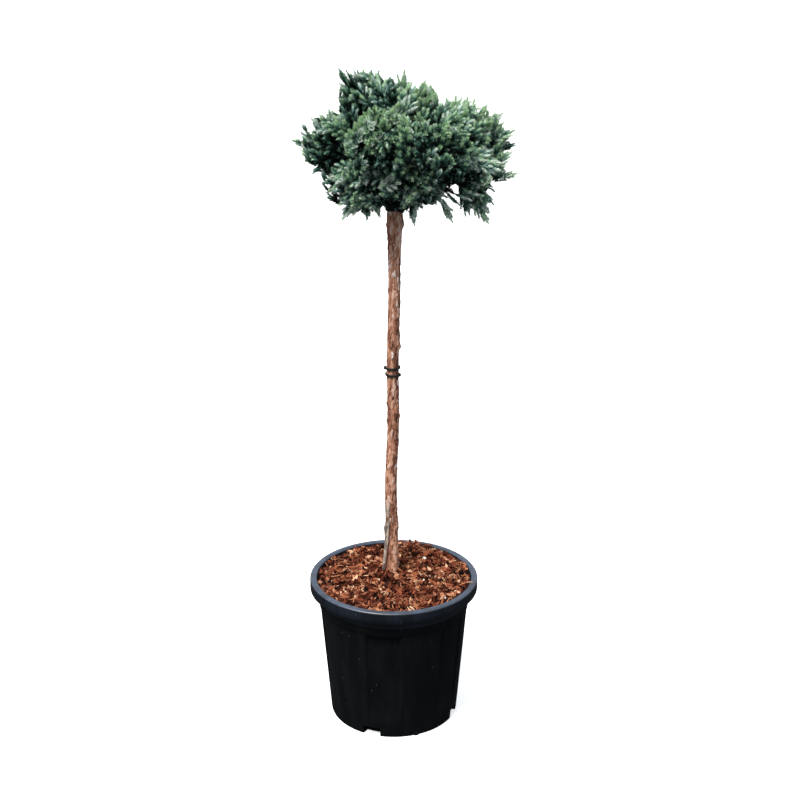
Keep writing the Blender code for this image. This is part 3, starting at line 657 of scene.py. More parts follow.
def lumpTemplate():
    # a 20-faced ball, split once: 42 points
    golden = (1 + math.sqrt(5)) / 2
    base = [(s * 1, t * golden) for s in (-1, 1) for t in (-1, 1)]
    points = [Vector((x, y, 0)) for x, y in base]
    points += [Vector((0, x, y)) for x, y in base] + [Vector((y, 0, x)) for x, y in base]
    points = [p.normalized() for p in points]
    faces = []
    for a, b, c in ((a, b, c) for a in range(12) for b in range(a + 1, 12) for c in range(b + 1, 12)):
        if all((points[p] - points[q]).length < 1.06 for p, q in ((a, b), (b, c), (a, c))):
            normal = (points[b] - points[a]).cross(points[c] - points[a])
            faces.append((a, b, c) if normal.dot(points[a]) > 0 else (a, c, b))
    middles, split = {}, []
    for a, b, c in faces:
        for p, q in ((a, b), (b, c), (c, a)):
            if (min(p, q), max(p, q)) not in middles:
                middles[min(p, q), max(p, q)] = len(points)
                points.append((points[p] + points[q]).normalized())
        ab, bc, ca = (middles[min(p, q), max(p, q)] for p, q in ((a, b), (b, c), (c, a)))
        split += [(a, ab, ca), (ab, b, bc), (ca, bc, c), (ab, bc, ca)]
    return np.array(points), np.array(split)


# Rounded lumps, each knocked out of shape: compressed coir crumbles into soft tan clods, and perlite is
# glass popped to white foam. Grains given by x, y and size lie in the open.
Lump = namedtuple("Lump", "name count sizes lie knocks tints grains")
lumps = (
    Lump("mulch_clods", 260, (0.0016, 0.0042), (-0.0014, 0.0018), 0.30,
         {"coir clod, tan": "#98644a", "coir clod, pale": "#b8886a", "coir clod, rust": "#803f28",
          "coir clod, brown": "#572b1b", "coir clod, dark": "#2e130b"}, ()),
    Lump("mulch_perlite", 9, (0.0014, 0.0024), (0.0008, 0.0022), 0.14,
         {"expanded perlite": "#f0ebe4", "expanded perlite, dusty": "#d9cdbf"},
         ((0.050, 0.060, 2.2), (0.079, 0.080, 1.9), (0.048, -0.020, 1.3), (0.032, -0.050, 1.5))),
)


def makeLumps(lump, rng):
    count = lump.count
    ball, one = lumpTemplate()
    size = rng.uniform(*lump.sizes, (count, 1, 1)) * rng.uniform(0.6, 1.15, (count, 1, 3))
    knocks = 1 + rng.normal(0, lump.knocks, (count, len(ball), 1))
    points = np.einsum("nvi,nij->nvj", ball[None] * knocks * size, randomTurns(count, rng))
    places = scatterPlaces(count, rng)
    for k, (x, y, scale) in enumerate(lump.grains):
        places[k] = x, y, soilHeight(x, y) + 0.0022
        points[k] *= scale
    places[:, 2] += rng.uniform(*lump.lie, count)
    points = keepInPot((points + places[:, None]).reshape(-1, 3))
    faces = repeatedFaces(one, count, len(ball))
    materials = [newMaterial(label, tint, 0.92, 0.3)[0] for label, tint in lump.tints.items()]
    picked = np.repeat(rng.integers(0, len(materials), count), len(one))
    settle(meshFromArrays(lump.name, points, faces, materials, picked), "mulch")
    print(f"{lump.name}: {len(faces)} triangles")


def makeMedium():
    rng = np.random.default_rng(medium["seed"])
    makeBed()
    makeChips(rng)
    makeFibres(rng)
    for lump in lumps:
        makeLumps(lump, rng)


# The stem: its shape as in the solid, and the relief and tone of its bark.
trunk = {
    "seed": 7,
    "radius": 0.0093,
    "flare": 0.0042,
    "flareHeight": 0.058,
    "graftHeight": 0.842,
    "graftSwell": 0.0027,
    "swellHeight": 0.816,
    "swellSpan": 0.044,
    "sway": 0.0018,
    "swayLength": 0.21,
    "swayMiddle": 0.39,
    "fluting": 0.13,
    "flutingHeight": 0.085,
    "rings": 560,
    "sides": 96,
    "knots": 12,
    "knotSize": 0.0022,
    "knotSpan": 0.008,
    "knotWidth": 0.42,  # radians
    "knobSize": 0.0019,
    "knobSpan": 0.0035,
    # small knobs: height, and degrees round from the right side
    "knobs": ((0.8063, 196), (0.8045, -10), (0.6174, -8), (0.5258, 190), (0.5045, 0), (0.4963, 184),
              (0.3149, -25)),
    # at the foot a groove parts a bare, smooth grey strand on the left from the rest
    "grooveAngle": -0.40,  # radians from the front, at grooveHeight
    "grooveHeight": 0.313,
    "grooveLean": 6.0,  # radians for each metre up
    "grooveTop": 0.335,
    "grooveWidth": 0.15,
    "grooveDepth": 0.0020,
    "strandTop": 0.372,
    "strandFoot": 0.258,  # it darkens below this height
}
bark = {
    "warp": 0.45,
    # scales round and up the stem: plates about 4 mm wide and 16 mm long, fibres 1 mm wide and 7 mm
    # long, and patches of 11 mm by 33 mm
    "plates": (230, 62),
    "plateRise": 0.00050,
    "crackDepth": 0.00055,
    "crackWidth": 0.22,
    "fibres": (1100, 150),
    "fibreRise": 0.00018,
    "patches": (90, 30),
    "patchRise": 0.0003,
    # how pale each makes the bark
    "usualTone": 0.56,
    "plateTone": 0.30,
    "fibreTone": 0.26,
    "patchTone": 0.12,
    "crackTone": 0.24,
    # painted shade: the groove at the foot, the stem's right side and the valleys between the flare's ridges
    # are darkened
    "grooveShade": 0.55,
    "rightShade": 0.16,
    "valleyShade": 0.35,  # between the ridges of the flare
    # painted light: the upper stem is made paler where the crown's shade falls on it
    "litAbove": ((0.60, 0.95), (0.75, 1.1)),  # height, and how much paler for each metre over it
}

Tie = namedtuple("Tie", "name level depth height tilt facing")
ties = (
    Tie("tie_middle_upper", 0.5838, 0.0022, 0.0048, 2.5, 90.0),
    Tie("tie_middle_lower", 0.5730, 0.0024, 0.0050, 6.0, -75.0),
    Tie("tie_graft", 0.8330, 0.0030, 0.0100, 7.0, 70.0),
)


def trunkAxis(height):
    rise = (height - trunkFoot.z) / (trunkHead.z - trunkFoot.z)
    middle = trunkFoot.lerp(trunkHead, rise)
    wave = math.cos(math.tau * (height - trunk["swayMiddle"]) / trunk["swayLength"])
    middle.x -= trunk["sway"] * wave * (1 - rise) * min(1, rise * 6)
    return middle


def trunkRadius(height):
    flare = trunk["flare"] * math.exp(-(height - trunkFoot.z) / trunk["flareHeight"])
    graft = trunk["graftSwell"] * math.exp(-(((height - trunk["swellHeight"]) / trunk["swellSpan"]) ** 2))
    return trunk["radius"] + flare + graft


def trunkKnots():
    # height, angle, size and span of each knot, clear of the ties, and of each knob
    rng = random.Random(trunk["seed"])
    for _ in range(trunk["knots"]):
        height = rng.uniform(trunkFoot.z + 0.05, trunk["graftHeight"] - 0.02)
        angle = rng.uniform(0, math.tau)
        if all(abs(height - tie.level) > 0.018 for tie in ties):
            yield height, angle, trunk["knotSize"], trunk["knotSpan"]
    for height, degrees in trunk["knobs"]:
        yield height, math.radians(degrees), trunk["knobSize"], trunk["knobSpan"]


def stretched(place, scales, shift=0):
    across, along = scales
    return Vector((place.x * across, place.y * across, place.z * along + shift))


def barkRelief(place):
    # (how far the bark stands out in metres, how pale it is from 0 to 1) at a place on the stem
    warp = noise.noise_vector(place * 110) * bark["warp"]
    distances, centres = noise.voronoi(stretched(place, bark["plates"]) + warp)
    plate = noise.cell(centres[0] * 7.3)
    crack = max(0.0, 1 - (distances[1] - distances[0]) / bark["crackWidth"])
    fibres = noise.fractal(stretched(place, bark["fibres"]), 0.8, 2.0, 3)
    patches = noise.noise(stretched(place, bark["patches"], 9))
    raised = bark["plateRise"] * max(0.0, plate - 0.35) / 0.65 * (1 - crack)
    out = raised - bark["crackDepth"] * crack ** 1.5 + bark["fibreRise"] * fibres
    out = out + bark["patchRise"] * patches
    pale = bark["usualTone"] + bark["plateTone"] * (plate - 0.5) + bark["fibreTone"] * fibres
    pale = pale + bark["patchTone"] * patches - bark["crackTone"] * crack
    # painted light, paler up the stem where the crown shades it
    (low, more), (high, most) = bark["litAbove"]
    pale += more * max(0.0, place.z - low) + most * max(0.0, place.z - high)
    return out, clamped(pale)


def footGroove(height, angle):
    # (share of the bare strand, share of the groove beside it) at a place near the foot
    side = math.remainder(angle + math.pi / 2, math.tau)  # from the front, positive to the right
    groove = trunk["grooveAngle"] + (height - trunk["grooveHeight"]) * trunk["grooveLean"]
    low = clamped((trunk["strandTop"] - height) / 0.03)
    past = clamped((groove - side) / 0.16) * clamped((side + 2.6) / 0.5)
    fade = clamped((trunk["grooveTop"] - height) / 0.02)
    return past * low, math.exp(-(((side - groove) / trunk["grooveWidth"]) ** 2)) * fade


def makeTrunk():
    knots = list(trunkKnots())
    rings, pale, grey = [], [], []
    for step in range(trunk["rings"] + 1):
        height = max(trunkFoot.z, trunkFoot.z + (trunkHead.z - trunkFoot.z) * step / trunk["rings"])
        middle, base = trunkAxis(height), trunkRadius(height)
        ridges = trunk["fluting"] * math.exp(-(height - trunkFoot.z) / trunk["flutingHeight"])
        near = [knot for knot in knots if abs(height - knot[0]) < 0.03]
        ring = []
        for angle in (math.tau * k / trunk["sides"] for k in range(trunk["sides"])):
            outward = Vector((math.cos(angle), math.sin(angle), 0))
            wave = math.cos(3 * angle + 0.9 + height * 6)
            radius = base * (1 + ridges * wave)
            for knotHeight, knotAngle, size, span in near:
                off = ((height - knotHeight) / span) ** 2
                turn = math.remainder(angle - knotAngle, math.tau)
                radius += size * math.exp(-off - (turn / trunk["knotWidth"]) ** 2)
            out, tone = barkRelief(middle + outward * base)
            bare, groove = footGroove(height, angle)
            out = out * (1 - 0.4 * bare)
            ring.append(middle + outward * (radius + out - trunk["grooveDepth"] * groove))
            # painted shade in the groove and on the right side; the bare strand also darkens towards its foot
            tone -= (bark["grooveShade"] * groove + bark["rightShade"] * max(0, outward.x) ** 3
                     + bare * max(0, trunk["strandFoot"] - height) / 0.04)
            # painted shade in the valleys between the flare's ridges
            pale.append(tone * (1 - bark["valleyShade"] * max(0, -wave) * ridges / trunk["fluting"]))
            grey.append(bare * (1 - groove))
        rings.append(ring)
    points, faces = skinRings(np.array(rings))
    values = {"pale": np.array([*pale, 0.5, 0.5]), "bare": np.array([*grey, 0, 0])}
    piece = meshFromArrays("trunk_bark", points, faces, [peelingBark()], smooth=True, values=values)
    settle(piece, "bark", "trunk")
    print(f"trunk: {len(faces)} triangles")


def peelingBark():
    # juniper bark: thin rust-brown sheets that split lengthwise and lift in pale, papery plates
    material, tree, shader = newMaterial("juniper bark, weathered", "#8f6350", 0.88, 0.25)
    relief = addNode(tree, "Attribute", attribute_name="pale")
    bare = addNode(tree, "Attribute", attribute_name="bare")
    place = addNode(tree, "TexCoord")
    along = addNode(tree, "Mapping", {"Scale": (1, 1, 0.12)}, {"Vector": (place, "Object")})
    # fibres 0.8 mm apart round the stem, and eight times as long
    fibres = addNode(tree, "TexNoise", {"Scale": 1300, "Detail": 4, "Roughness": 0.6},
                     {"Vector": (along, "Vector")})
    shift = addNode(tree, "Math", {1: -0.5}, {0: (fibres, "Fac")}, operation="ADD")
    mixed = addNode(tree, "Math", {1: 0.55}, {0: (shift, "Value"), 2: (relief, "Fac")},
                    operation="MULTIPLY_ADD")
    tone = addNode(tree, "ValToRGB", links={"Fac": (mixed, "Value")},
                   stops=[(0.02, "#5a392c"), (0.96, "#f2e6de"), (0.22, "#93634e"), (0.42, "#bb886e"),
                          (0.62, "#d2a68c"), (0.80, "#e2c8b8")])
    # rust patches about 30 mm long
    patches = addNode(tree, "TexNoise", {"Scale": 60, "Detail": 3}, {"Vector": (along, "Vector")})
    where = addNode(tree, "MapRange", {"From Min": 0.48, "From Max": 0.68, "To Max": 0.55},
                    {"Value": (patches, "Fac")})
    rust = addNode(tree, "Mix", {"B": toLinear("#a5583a")},
                   {"Factor": (where, "Result"), "A": (tone, "Color")},
                   data_type="RGBA", blend_type="MULTIPLY")
    # the bare strand has weathered grey
    grey = addNode(tree, "ValToRGB", links={"Fac": (mixed, "Value")},
                   stops=[(0.0, "#584d46"), (0.95, "#ddd5cc"), (0.30, "#988b81"), (0.60, "#bfb3a8")])
    warm = addNode(tree, "Mix", links={"Factor": (bare, "Fac"), "A": (rust, "Result"), "B": (grey, "Color")},
                   data_type="RGBA")
    tree.links.new(warm.outputs["Result"], shader.inputs["Base Color"])
    bump = addNode(tree, "Bump", {"Strength": 0.5, "Distance": 0.0006}, {"Height": (fibres, "Fac")})
    tree.links.new(bump.outputs["Normal"], shader.inputs["Normal"])
    return material


# Papery strips of bark that lift at one end, and short splinters at the edges of the stem.
flakes = {
    "count": 260,
    "rows": 6,
    "columns": 3,
    "length": (0.004, 0.013),
    "width": (0.0014, 0.0044),
    "lift": (0.0003, 0.0014),
    "thickness": 0.00035,
    "downShare": 0.6,  # of them lift at their lower end
    "tints": ("#84543f", "#a87a68", "#c9a99b", "#e2d3ca"),
    "tintShares": (0.22, 0.38, 0.30, 0.10),
}


def flakePoint(share, side, layer, flake):
    # a place on one face of a flake: share of the way along it, side -1 to 1 across, layer 0 or 1
    height, angle, length, width, lift, down = flake
    level = height + (0.5 - share if down else share - 0.5) * length
    level = min(max(level, trunkFoot.z + 0.004), trunkHead.z - 0.01)
    radius = trunkRadius(level) + 0.0001 + lift * share ** 1.8
    turn = angle + side * width * (1 - 0.55 * share) / 2 / radius
    reach = radius + layer * flakes["thickness"] * (1 - 0.6 * share) - 0.0002 * abs(side)
    return trunkAxis(level) + Vector((math.cos(turn), math.sin(turn), 0)) * reach


def makeFlakes():
    rng = np.random.default_rng(trunk["seed"])
    rows, columns = flakes["rows"], flakes["columns"]
    height = rng.uniform(trunkFoot.z + 0.012, trunk["graftHeight"] - 0.02, flakes["count"])
    height = height[[all(abs(h - tie.level) > 0.011 for tie in ties) for h in height]]
    count = len(height)
    angle = rng.uniform(0, math.tau, count)
    length, width = rng.uniform(*flakes["length"], count), rng.uniform(*flakes["width"], count)
    lift, down = rng.uniform(*flakes["lift"], count), rng.random(count) < flakes["downShare"]
    points = [flakePoint(share, side, layer, flake) for flake in zip(height, angle, length, width, lift, down)
              for layer in (0, 1) for share in np.linspace(0, 1, rows) for side in (-1, 0, 1)]
    quads = gridFaces(rows, columns, closed=False)
    layer = rows * columns
    grid = np.arange(layer).reshape(rows, columns)
    rim = [*grid[0], *grid[1:, -1], *grid[-1, -2::-1], *grid[-2:0:-1, 0]]
    sides = [(a, b, b + layer, a + layer) for a, b in zip(rim, rim[1:] + rim[:1])]
    one = np.concatenate([quads[:, ::-1], quads + layer, sides])
    faces = repeatedFaces(one, count, 2 * layer)
    # dry outer bark: papery, dull and paler than the stem under it
    materials = tintedMaterials("lifted bark", flakes["tints"], 0.88, 0.25)
    picked = np.repeat(rng.choice(4, count, p=flakes["tintShares"]), len(one))
    settle(meshFromArrays("bark_flakes", points, faces, materials, picked, smooth=True), "bark")
    print(f"bark flakes: {count}")


# The ties' rubber bands. A swell is how much thicker a band gets, or how many metres lower it runs, at
# which angle and how many degrees wide.
bands = {
    "segments": 72,
    "sides": 14,
    "depthShare": (0.88, 0.85),  # of the solid's, for the straps and for the binding
    "strapHeight": 0.80,
    "upperSwells": (((1.5, -90, 7), (0.15, 84, 16)), ((0.0004, 20, 60),)),
    "lowerSwells": (((0.75, 82, 10), (0.12, -50, 30)), ((0.0012, -40, 40),)),
    "turns": 4,  # the graft is bound with four turns of flat rubber
    "turnHeight": 0.0042,
    "turnGap": 0.0032,
    "sag": (0.0040, 48, 22),  # the first turn's
    "looseEnd": ((0.0122, 0.0010, 0.8312), (0.0152, -0.0010, 0.8300), (0.0185, -0.0025, 0.8306),
                 (0.0225, -0.0040, 0.8318), (0.0268, -0.0050, 0.8325)),
    "endRadii": (0.0011, 0.0010, 0.0008, 0.0006, 0.0004),
}


def bulge(degrees, size, middle, span):
    return size * math.exp(-((((degrees - middle + 180) % 360 - 180) / span) ** 2))


def rounded(value):
    # a sine or cosine pushed outward, so that a band's section is a rounded rectangle
    return abs(value) ** 0.8 * math.copysign(1, value)


def bandPoints(tie, depth, height, level, swell):
    # a closed band round the stem; swell(degrees) gives (share thicker, metres lower) at an angle
    middle = trunkAxis(tie.level)
    base = trunkRadius(tie.level) * 1.012 + 0.0003 + tie.depth / 2
    tilt = Matrix.Rotation(math.radians(tie.tilt), 3, around(tie.facing - 90, 1))
    for degrees in (360 * k / bands["segments"] for k in range(bands["segments"])):
        thicker, lower = swell(degrees)
        for angle in (math.tau * side / bands["sides"] for side in range(bands["sides"])):
            out = rounded(math.cos(angle)) * depth / 2 * thicker
            rise = rounded(math.sin(angle)) * height / 2 * (1 + (thicker - 1) * 0.5)
            reach = base + out + (thicker - 1) * depth * 0.3
            yield middle + tilt @ (around(degrees, 1) * reach + up * (rise + level - lower))


def bandFaces():
    segments, sides = bands["segments"], bands["sides"]
    side, segment = (grid.ravel() for grid in np.meshgrid(range(sides), range(segments), indexing="ij"))
    first, following, after = segment * sides, (segment + 1) % segments * sides, (side + 1) % sides
    return np.stack([following + side, following + after, first + after, first + side], -1)


def makeTies():
    # vulcanised rubber: black, soft sheen, with bloom and dust in patches of 5 mm
    rubber = grainyMaterial("vulcanised rubber, extruded", "#0c0c0d", 0.6, 0.35,
                            {"Scale": 200, "Detail": 5, "Roughness": 0.7},
                            [(0.42, "#070708"), (0.8, "#35322f")], (0.25, 0.0004), IOR=1.52)
    upper, lower, graft = ties
    strapShare, bindingShare = bands["depthShare"]
    for tie, (thicker, sags) in ((upper, bands["upperSwells"]), (lower, bands["lowerSwells"])):

        def strap(degrees):
            return 1 + sum(bulge(degrees, *one) for one in thicker), sum(bulge(degrees, *one) for one in sags)

        points = list(bandPoints(tie, tie.depth * strapShare, tie.height * bands["strapHeight"], 0.0, strap))
        piece = meshFromArrays(tie.name + "_strap", points, bandFaces(), [rubber], smooth=True)
        settle(piece, "rubber", tie.name)

    points = []
    for number in range(bands["turns"]):

        def wind(degrees):
            thicker = 1 + 0.16 * math.sin(math.radians(degrees * 2 + number * 70))
            sag = bulge(degrees, *bands["sag"]) if number == 0 else 0
            return thicker, 0.0007 * math.sin(math.radians(degrees + number * 100)) + sag

        level = (number / (bands["turns"] - 1) - 0.5) * (graft.height - bands["turnGap"])
        points += bandPoints(graft, graft.depth * bindingShare, bands["turnHeight"], level, wind)
    faces = repeatedFaces(bandFaces(), bands["turns"], len(points) // bands["turns"])
    settle(meshFromArrays("graft_binding", points, faces, [rubber], smooth=True), "rubber", "tie_graft")
    points, faces = tubes(np.array([bands["looseEnd"]]), np.array([bands["endRadii"]]), 6)
    settle(meshFromArrays("graft_binding_end", points, faces, [rubber], smooth=True), "rubber")
    print("ties: 3")


# The crown: the same boughs, masses and sprays as the solids, carried on to twigs, shoots and needles.
crown = {
    "seed": 7,
    "gap": 0.0003,
    "clearance": 0.0006,
    "hub": Vector((0.003, 0.004, 0.862)),
    "forkTopSpread": 0.0058,
    "boughRoot": 0.0028,
    "boughTip": 0.0018,
    "boughBend": 0.4,
    "boughRings": 4,
    "leastBough": 0.034,
    "boughShare": 0.70,
    "sprayWidth": 0.50,
    "sprayThickness": 0.24,
    "sprayRolls": 8,
    "leaderSpace": 0.014,
    "tipMargin": 0.0035,
    "crowdReach": 0.20,  # how much further a mass grows in the corner beside another
    "crowdNear": 1.0,
    "crowdFar": 1.35,
    "twigRadius": 0.0016,
    "lift": 0.30,
    "waist": 0.885,
    "fromHub": 0.6,  # how much a spray heads away from the hub, beside away from its mass's middle
    "overlap": 0.024,  # how far fine shoots reach in among the next mass's
    "mingle": 0.012,  # how far the tips of fine sprays do
    "combScale": 26,  # sprays within about 35 mm lean the same way
    "thinBelow": 0.16,  # fine sprays stop short of the outline below a mass
    "openHollow": 0.55,  # no fine spray ends deeper in a hollow than this
    "shootSpread": 0.62,  # width of a spray with its shoots, as a share of its length
    "boughShoots": 46,  # shoots along each bough, dark with painted shade
    "boughShootLength": (0.020, 0.032),
    "wispPast": 0.0035,  # the needles of a wisp end this far short of its tip
    "wispLength": 0.030,
    "wispSides": ((0.008, 0.0045), (0.012, -0.0055), (0.018, 0.0065)),  # how far back and out each ends
}

# The layers of sprays in a mass: how many, how long, how far out their tips are, the size and the whorls of
# their shoots, how much darker each layer is than the first, which is painted shade deeper in the mass, and
# how far its sprays lean sideways.
Layer = namedtuple("Layer", "kind count length reach size whorls shade sweep")
layers = (
    Layer("main", 22, (0.040, 0.052), (0.93, 1.07), 1.0, 12, 0.0, 0.0),
    Layer("fine", 58, (0.036, 0.048), (0.86, 1.0), 1.0, 11, 0.0, 1.9),
    Layer("low", 46, (0.030, 0.038), (0.70, 0.88), 1.0, 10, 0.34, 1.5),
    Layer("inner", 30, (0.026, 0.034), (0.45, 0.72), 1.2, 7, 0.70, 0.6),
)
mainLayer, fineLayer, _, innerLayer = layers

# centre, half size, height of the fork (None: the stem's flat top), furthest tips, and how light it is: a
# tint of its own, with painted light and shade for its place in the crown
Mass = namedtuple("Mass", "name centre halfSize fork leaders tone")
masses = (
    Mass("top_left", (-0.034, 0.020, 0.980), (0.052, 0.054, 0.049), None,
         ((-0.078, 0.020, 1.029), (-0.056, 0.018, 1.026), (-0.031, 0.018, 1.028), (-0.004, 0.014, 1.018),
          (-0.079, 0.016, 0.989)), -0.26),
    Mass("top_right", (0.028, 0.011, 0.970), (0.044, 0.050, 0.047), None,
         ((0.016, 0.010, 1.028), (0.046, 0.006, 1.014), (0.056, 0.004, 0.996)), 0.14),
    Mass("right_upper", (0.104, 0.006, 0.938), (0.064, 0.056, 0.050), 0.8600,
         ((0.090, 0.006, 0.992), (0.107, 0.004, 0.991), (0.135, 0.002, 0.980), (0.158, 0.000, 0.969),
          (0.175, 0.000, 0.944), (0.178, 0.020, 0.920)), 0.05),
    Mass("right_lower", (0.118, -0.016, 0.878), (0.050, 0.054, 0.044), 0.8520,
         ((0.179, -0.020, 0.886), (0.166, -0.012, 0.902), (0.170, -0.024, 0.917), (0.147, -0.028, 0.860),
          (0.139, -0.030, 0.813), (0.111, -0.032, 0.827)), 0.04),
    Mass("low_right", (0.070, -0.050, 0.866), (0.034, 0.038, 0.034), 0.8445,
         ((0.085, -0.056, 0.821), (0.061, -0.060, 0.847)), 0.14),
    Mass("left_upper", (-0.090, 0.002, 0.930), (0.048, 0.056, 0.044), 0.8600,
         ((-0.146, 0.000, 0.930), (-0.118, 0.000, 0.962), (-0.092, 0.002, 0.973), (-0.127, -0.004, 0.901),
          (-0.117, -0.020, 0.884)), -0.03),
    Mass("left_lower", (-0.050, -0.030, 0.872), (0.053, 0.052, 0.046), 0.8470,
         ((-0.074, -0.030, 0.819), (-0.038, -0.032, 0.819), (-0.021, -0.050, 0.829),
          (-0.085, -0.034, 0.859)), 0.08),
    Mass("front_centre", (-0.014, -0.078, 0.938), (0.052, 0.052, 0.050), 0.8600, (), 0.12),
    Mass("front_right", (0.064, -0.072, 0.922), (0.050, 0.052, 0.047), 0.8600, (), -0.08),
    Mass("front_low", (0.024, -0.062, 0.880), (0.042, 0.044, 0.036), 0.8460,
         ((0.031, -0.062, 0.817), (0.040, -0.070, 0.847)), 0.15),
    Mass("back_left", (-0.066, 0.084, 0.902), (0.060, 0.058, 0.056), 0.8480, (), 0.00),
    Mass("back_centre", (0.018, 0.104, 0.930), (0.060, 0.054, 0.060), None, (), 0.04),
    Mass("back_right", (0.098, 0.080, 0.902), (0.060, 0.058, 0.054), 0.8480, (), 0.00),
)
goldenAngle = math.pi * (3 - math.sqrt(5))

# openings through the crown and notches in its outline, as seen from the front: x and z in the plane
# of the stem, and radius; and deep, shady hollows between the masses, given the same way
gapEye = Vector((0.010, -1.895, 1.176))
gaps = ((0.0905, 0.8530, 0.0115), (0.0975, 0.8400, 0.0105), (0.0600, 0.8230, 0.0130),
        (-0.122, 0.950, 0.0070), (-0.112, 0.893, 0.0060), (-0.129, 0.910, 0.0050),
        (-0.083, 0.981, 0.0070), (-0.076, 0.999, 0.0060), (-0.098, 0.864, 0.0070),
        (0.156, 0.862, 0.0120), (0.163, 0.871, 0.0080), (0.147, 0.855, 0.0070),
        (0.066, 0.835, 0.0060), (0.045, 0.835, 0.0050), (0.023, 0.824, 0.0040),
        (0.087, 0.860, 0.0110), (0.085, 0.846, 0.0110), (0.021, 1.010, 0.0050))
hollows = ((0.039, 0.927, 0.012), (-0.023, 0.899, 0.013), (-0.005, 0.873, 0.014),
           (0.079, 0.873, 0.014), (0.097, 0.894, 0.012), (0.046, 0.881, 0.010),
           (-0.062, 0.916, 0.010), (0.057, 0.959, 0.009), (-0.039, 0.980, 0.010))
# more tips of long thin shoots that stand out of the outline, beside the furthest tips of the masses
wisps = {
    "top_left": ((-0.067, 0.010, 1.028), (-0.051, 0.014, 1.027), (-0.020, 0.012, 1.027)),
    "top_right": ((0.006, 0.008, 1.022),),
    "right_upper": ((0.076, 0.000, 0.990), (0.098, 0.010, 0.990), (0.117, 0.000, 0.988),
                    (0.158, -0.010, 0.956), (0.172, -0.006, 0.938), (0.176, 0.004, 0.925)),
    "right_lower": ((0.146, -0.028, 0.841), (0.140, -0.020, 0.829), (0.105, -0.030, 0.825)),
    "low_right": ((0.096, -0.050, 0.844),),
    "left_lower": ((-0.078, -0.036, 0.841), (-0.061, -0.020, 0.828), (-0.019, -0.016, 0.821),
                   (-0.012, -0.030, 0.838)),
}


def massHeading(mass):
    return (Vector(mass.centre) - crown["hub"]).normalized()


def massReach(mass, direction):
    return 1 / Vector(d / h for d, h in zip(direction, mass.halfSize)).length


def boughTip(mass):
    span = (Vector(mass.centre) - crown["hub"]).length
    length = max(crown["leastBough"], span - crown["boughShare"] * massReach(mass, massHeading(mass)))
    return crown["hub"] + massHeading(mass) * length


def boughRoot(mass):
    # where a bough starts, and which way it sets out
    hub = crown["hub"]
    level = hub + massHeading(mass)
    sideways = Vector((level.x - hub.x, level.y - hub.y, 0)).normalized()
    if mass.fork is None:
        return trunkAxis(trunkHead.z) + sideways * crown["forkTopSpread"] + up * crown["gap"], up
    return trunkAxis(mass.fork) + sideways * (trunkRadius(mass.fork) + crown["gap"]), sideways


def curved(root, bend, tip, share):
    # a place along a limb that sets out towards its bend and ends at its tip
    return root.lerp(bend, share).lerp(bend.lerp(tip, share), share)


def boughLine(mass, steps):
    # places along a bough that bends from its root to its heading, with its radius there
    root, settingOut = boughRoot(mass)
    tip = boughTip(mass)
    bend = root + settingOut * (tip - root).length * crown["boughBend"]
    for share in (step / steps for step in range(steps + 1)):
        radius = crown["boughRoot"] + (crown["boughTip"] - crown["boughRoot"]) * share
        yield curved(root, bend, tip, share), radius


def limbPieces(mass):
    # the stem, and the pieces of the other masses' boughs
    low, high = trunkHead.z - 0.14, trunkHead.z
    yield trunkAxis(low), trunkAxis(high), trunkRadius(trunk["graftHeight"]) * 1.05
    for other in masses:
        if other is not mass:
            places, _ = zip(*boughLine(other, crown["boughRings"]))
            yield from ((start, end, crown["boughRoot"]) for start, end in zip(places, places[1:]))


def nearestOn(start, end, point):
    along = end - start
    return start + along * clamped((point - start).dot(along) / along.length_squared)


def massPlanes(mass):
    # the planes that bound a mass's own space: normals (n, 3), how far out each stands (n), and which of
    # them face other foliage, so that fine shoots may reach a little past them (n, 1 or 0)
    centre, clearance = Vector(mass.centre), crown["clearance"]
    planes = [(boughTip(mass) + massHeading(mass) * crown["gap"], -massHeading(mass), 0)]
    for other in masses:
        if other is mass:
            continue
        apart = (Vector(other.centre) - centre).normalized()
        mine, theirs = massReach(mass, apart), massReach(other, apart)
        middle = centre.lerp(Vector(other.centre), mine / (mine + theirs))
        planes.append((middle - apart * clearance, apart, 1))
    for number, (start, end, radius) in enumerate(limbPieces(mass)):
        nearest = nearestOn(start, end, centre)
        apart = (nearest - centre).normalized()
        planes.append((nearest - apart * (radius + 2 * clearance), apart, min(number, 1)))
    stand = np.array([place.dot(normal) for place, normal, soft in planes])
    return np.array([normal for _, normal, _ in planes]), stand, np.array([soft for _, _, soft in planes])


def inside(points, planes, margin=0.0, overlap=0.0):
    normals, stand, soft = planes
    return bool((np.array(points) @ normals.T < stand - margin + overlap * soft).all())


def sphereDirections(count, rng):
    for k in range(count):
        height = 1 - (2 * k + 1) / count
        ring = math.sqrt(1 - height * height)
        turn = k * goldenAngle
        even = Vector((ring * math.cos(turn), ring * math.sin(turn), height))
        stray = Vector((rng.gauss(0, 1), rng.gauss(0, 1), rng.gauss(0, 1)))
        yield (even + stray * 0.10).normalized()


def fullerReach(mass, planes, direction, margin):
    # the room in a direction, and the mass's outline, which is fuller where that room is small
    normals, stand, _ = planes
    outline = massReach(mass, direction)
    towards = normals @ np.array(direction)
    space = stand - normals @ np.array(mass.centre) - margin
    facing = towards > 1e-6
    room = min([outline * 2, *(space[facing] / towards[facing])])
    crowding = clamped((crown["crowdFar"] - room / outline) / (crown["crowdFar"] - crown["crowdNear"]))
    return room, outline * (1 + crown["crowdReach"] * crowding)


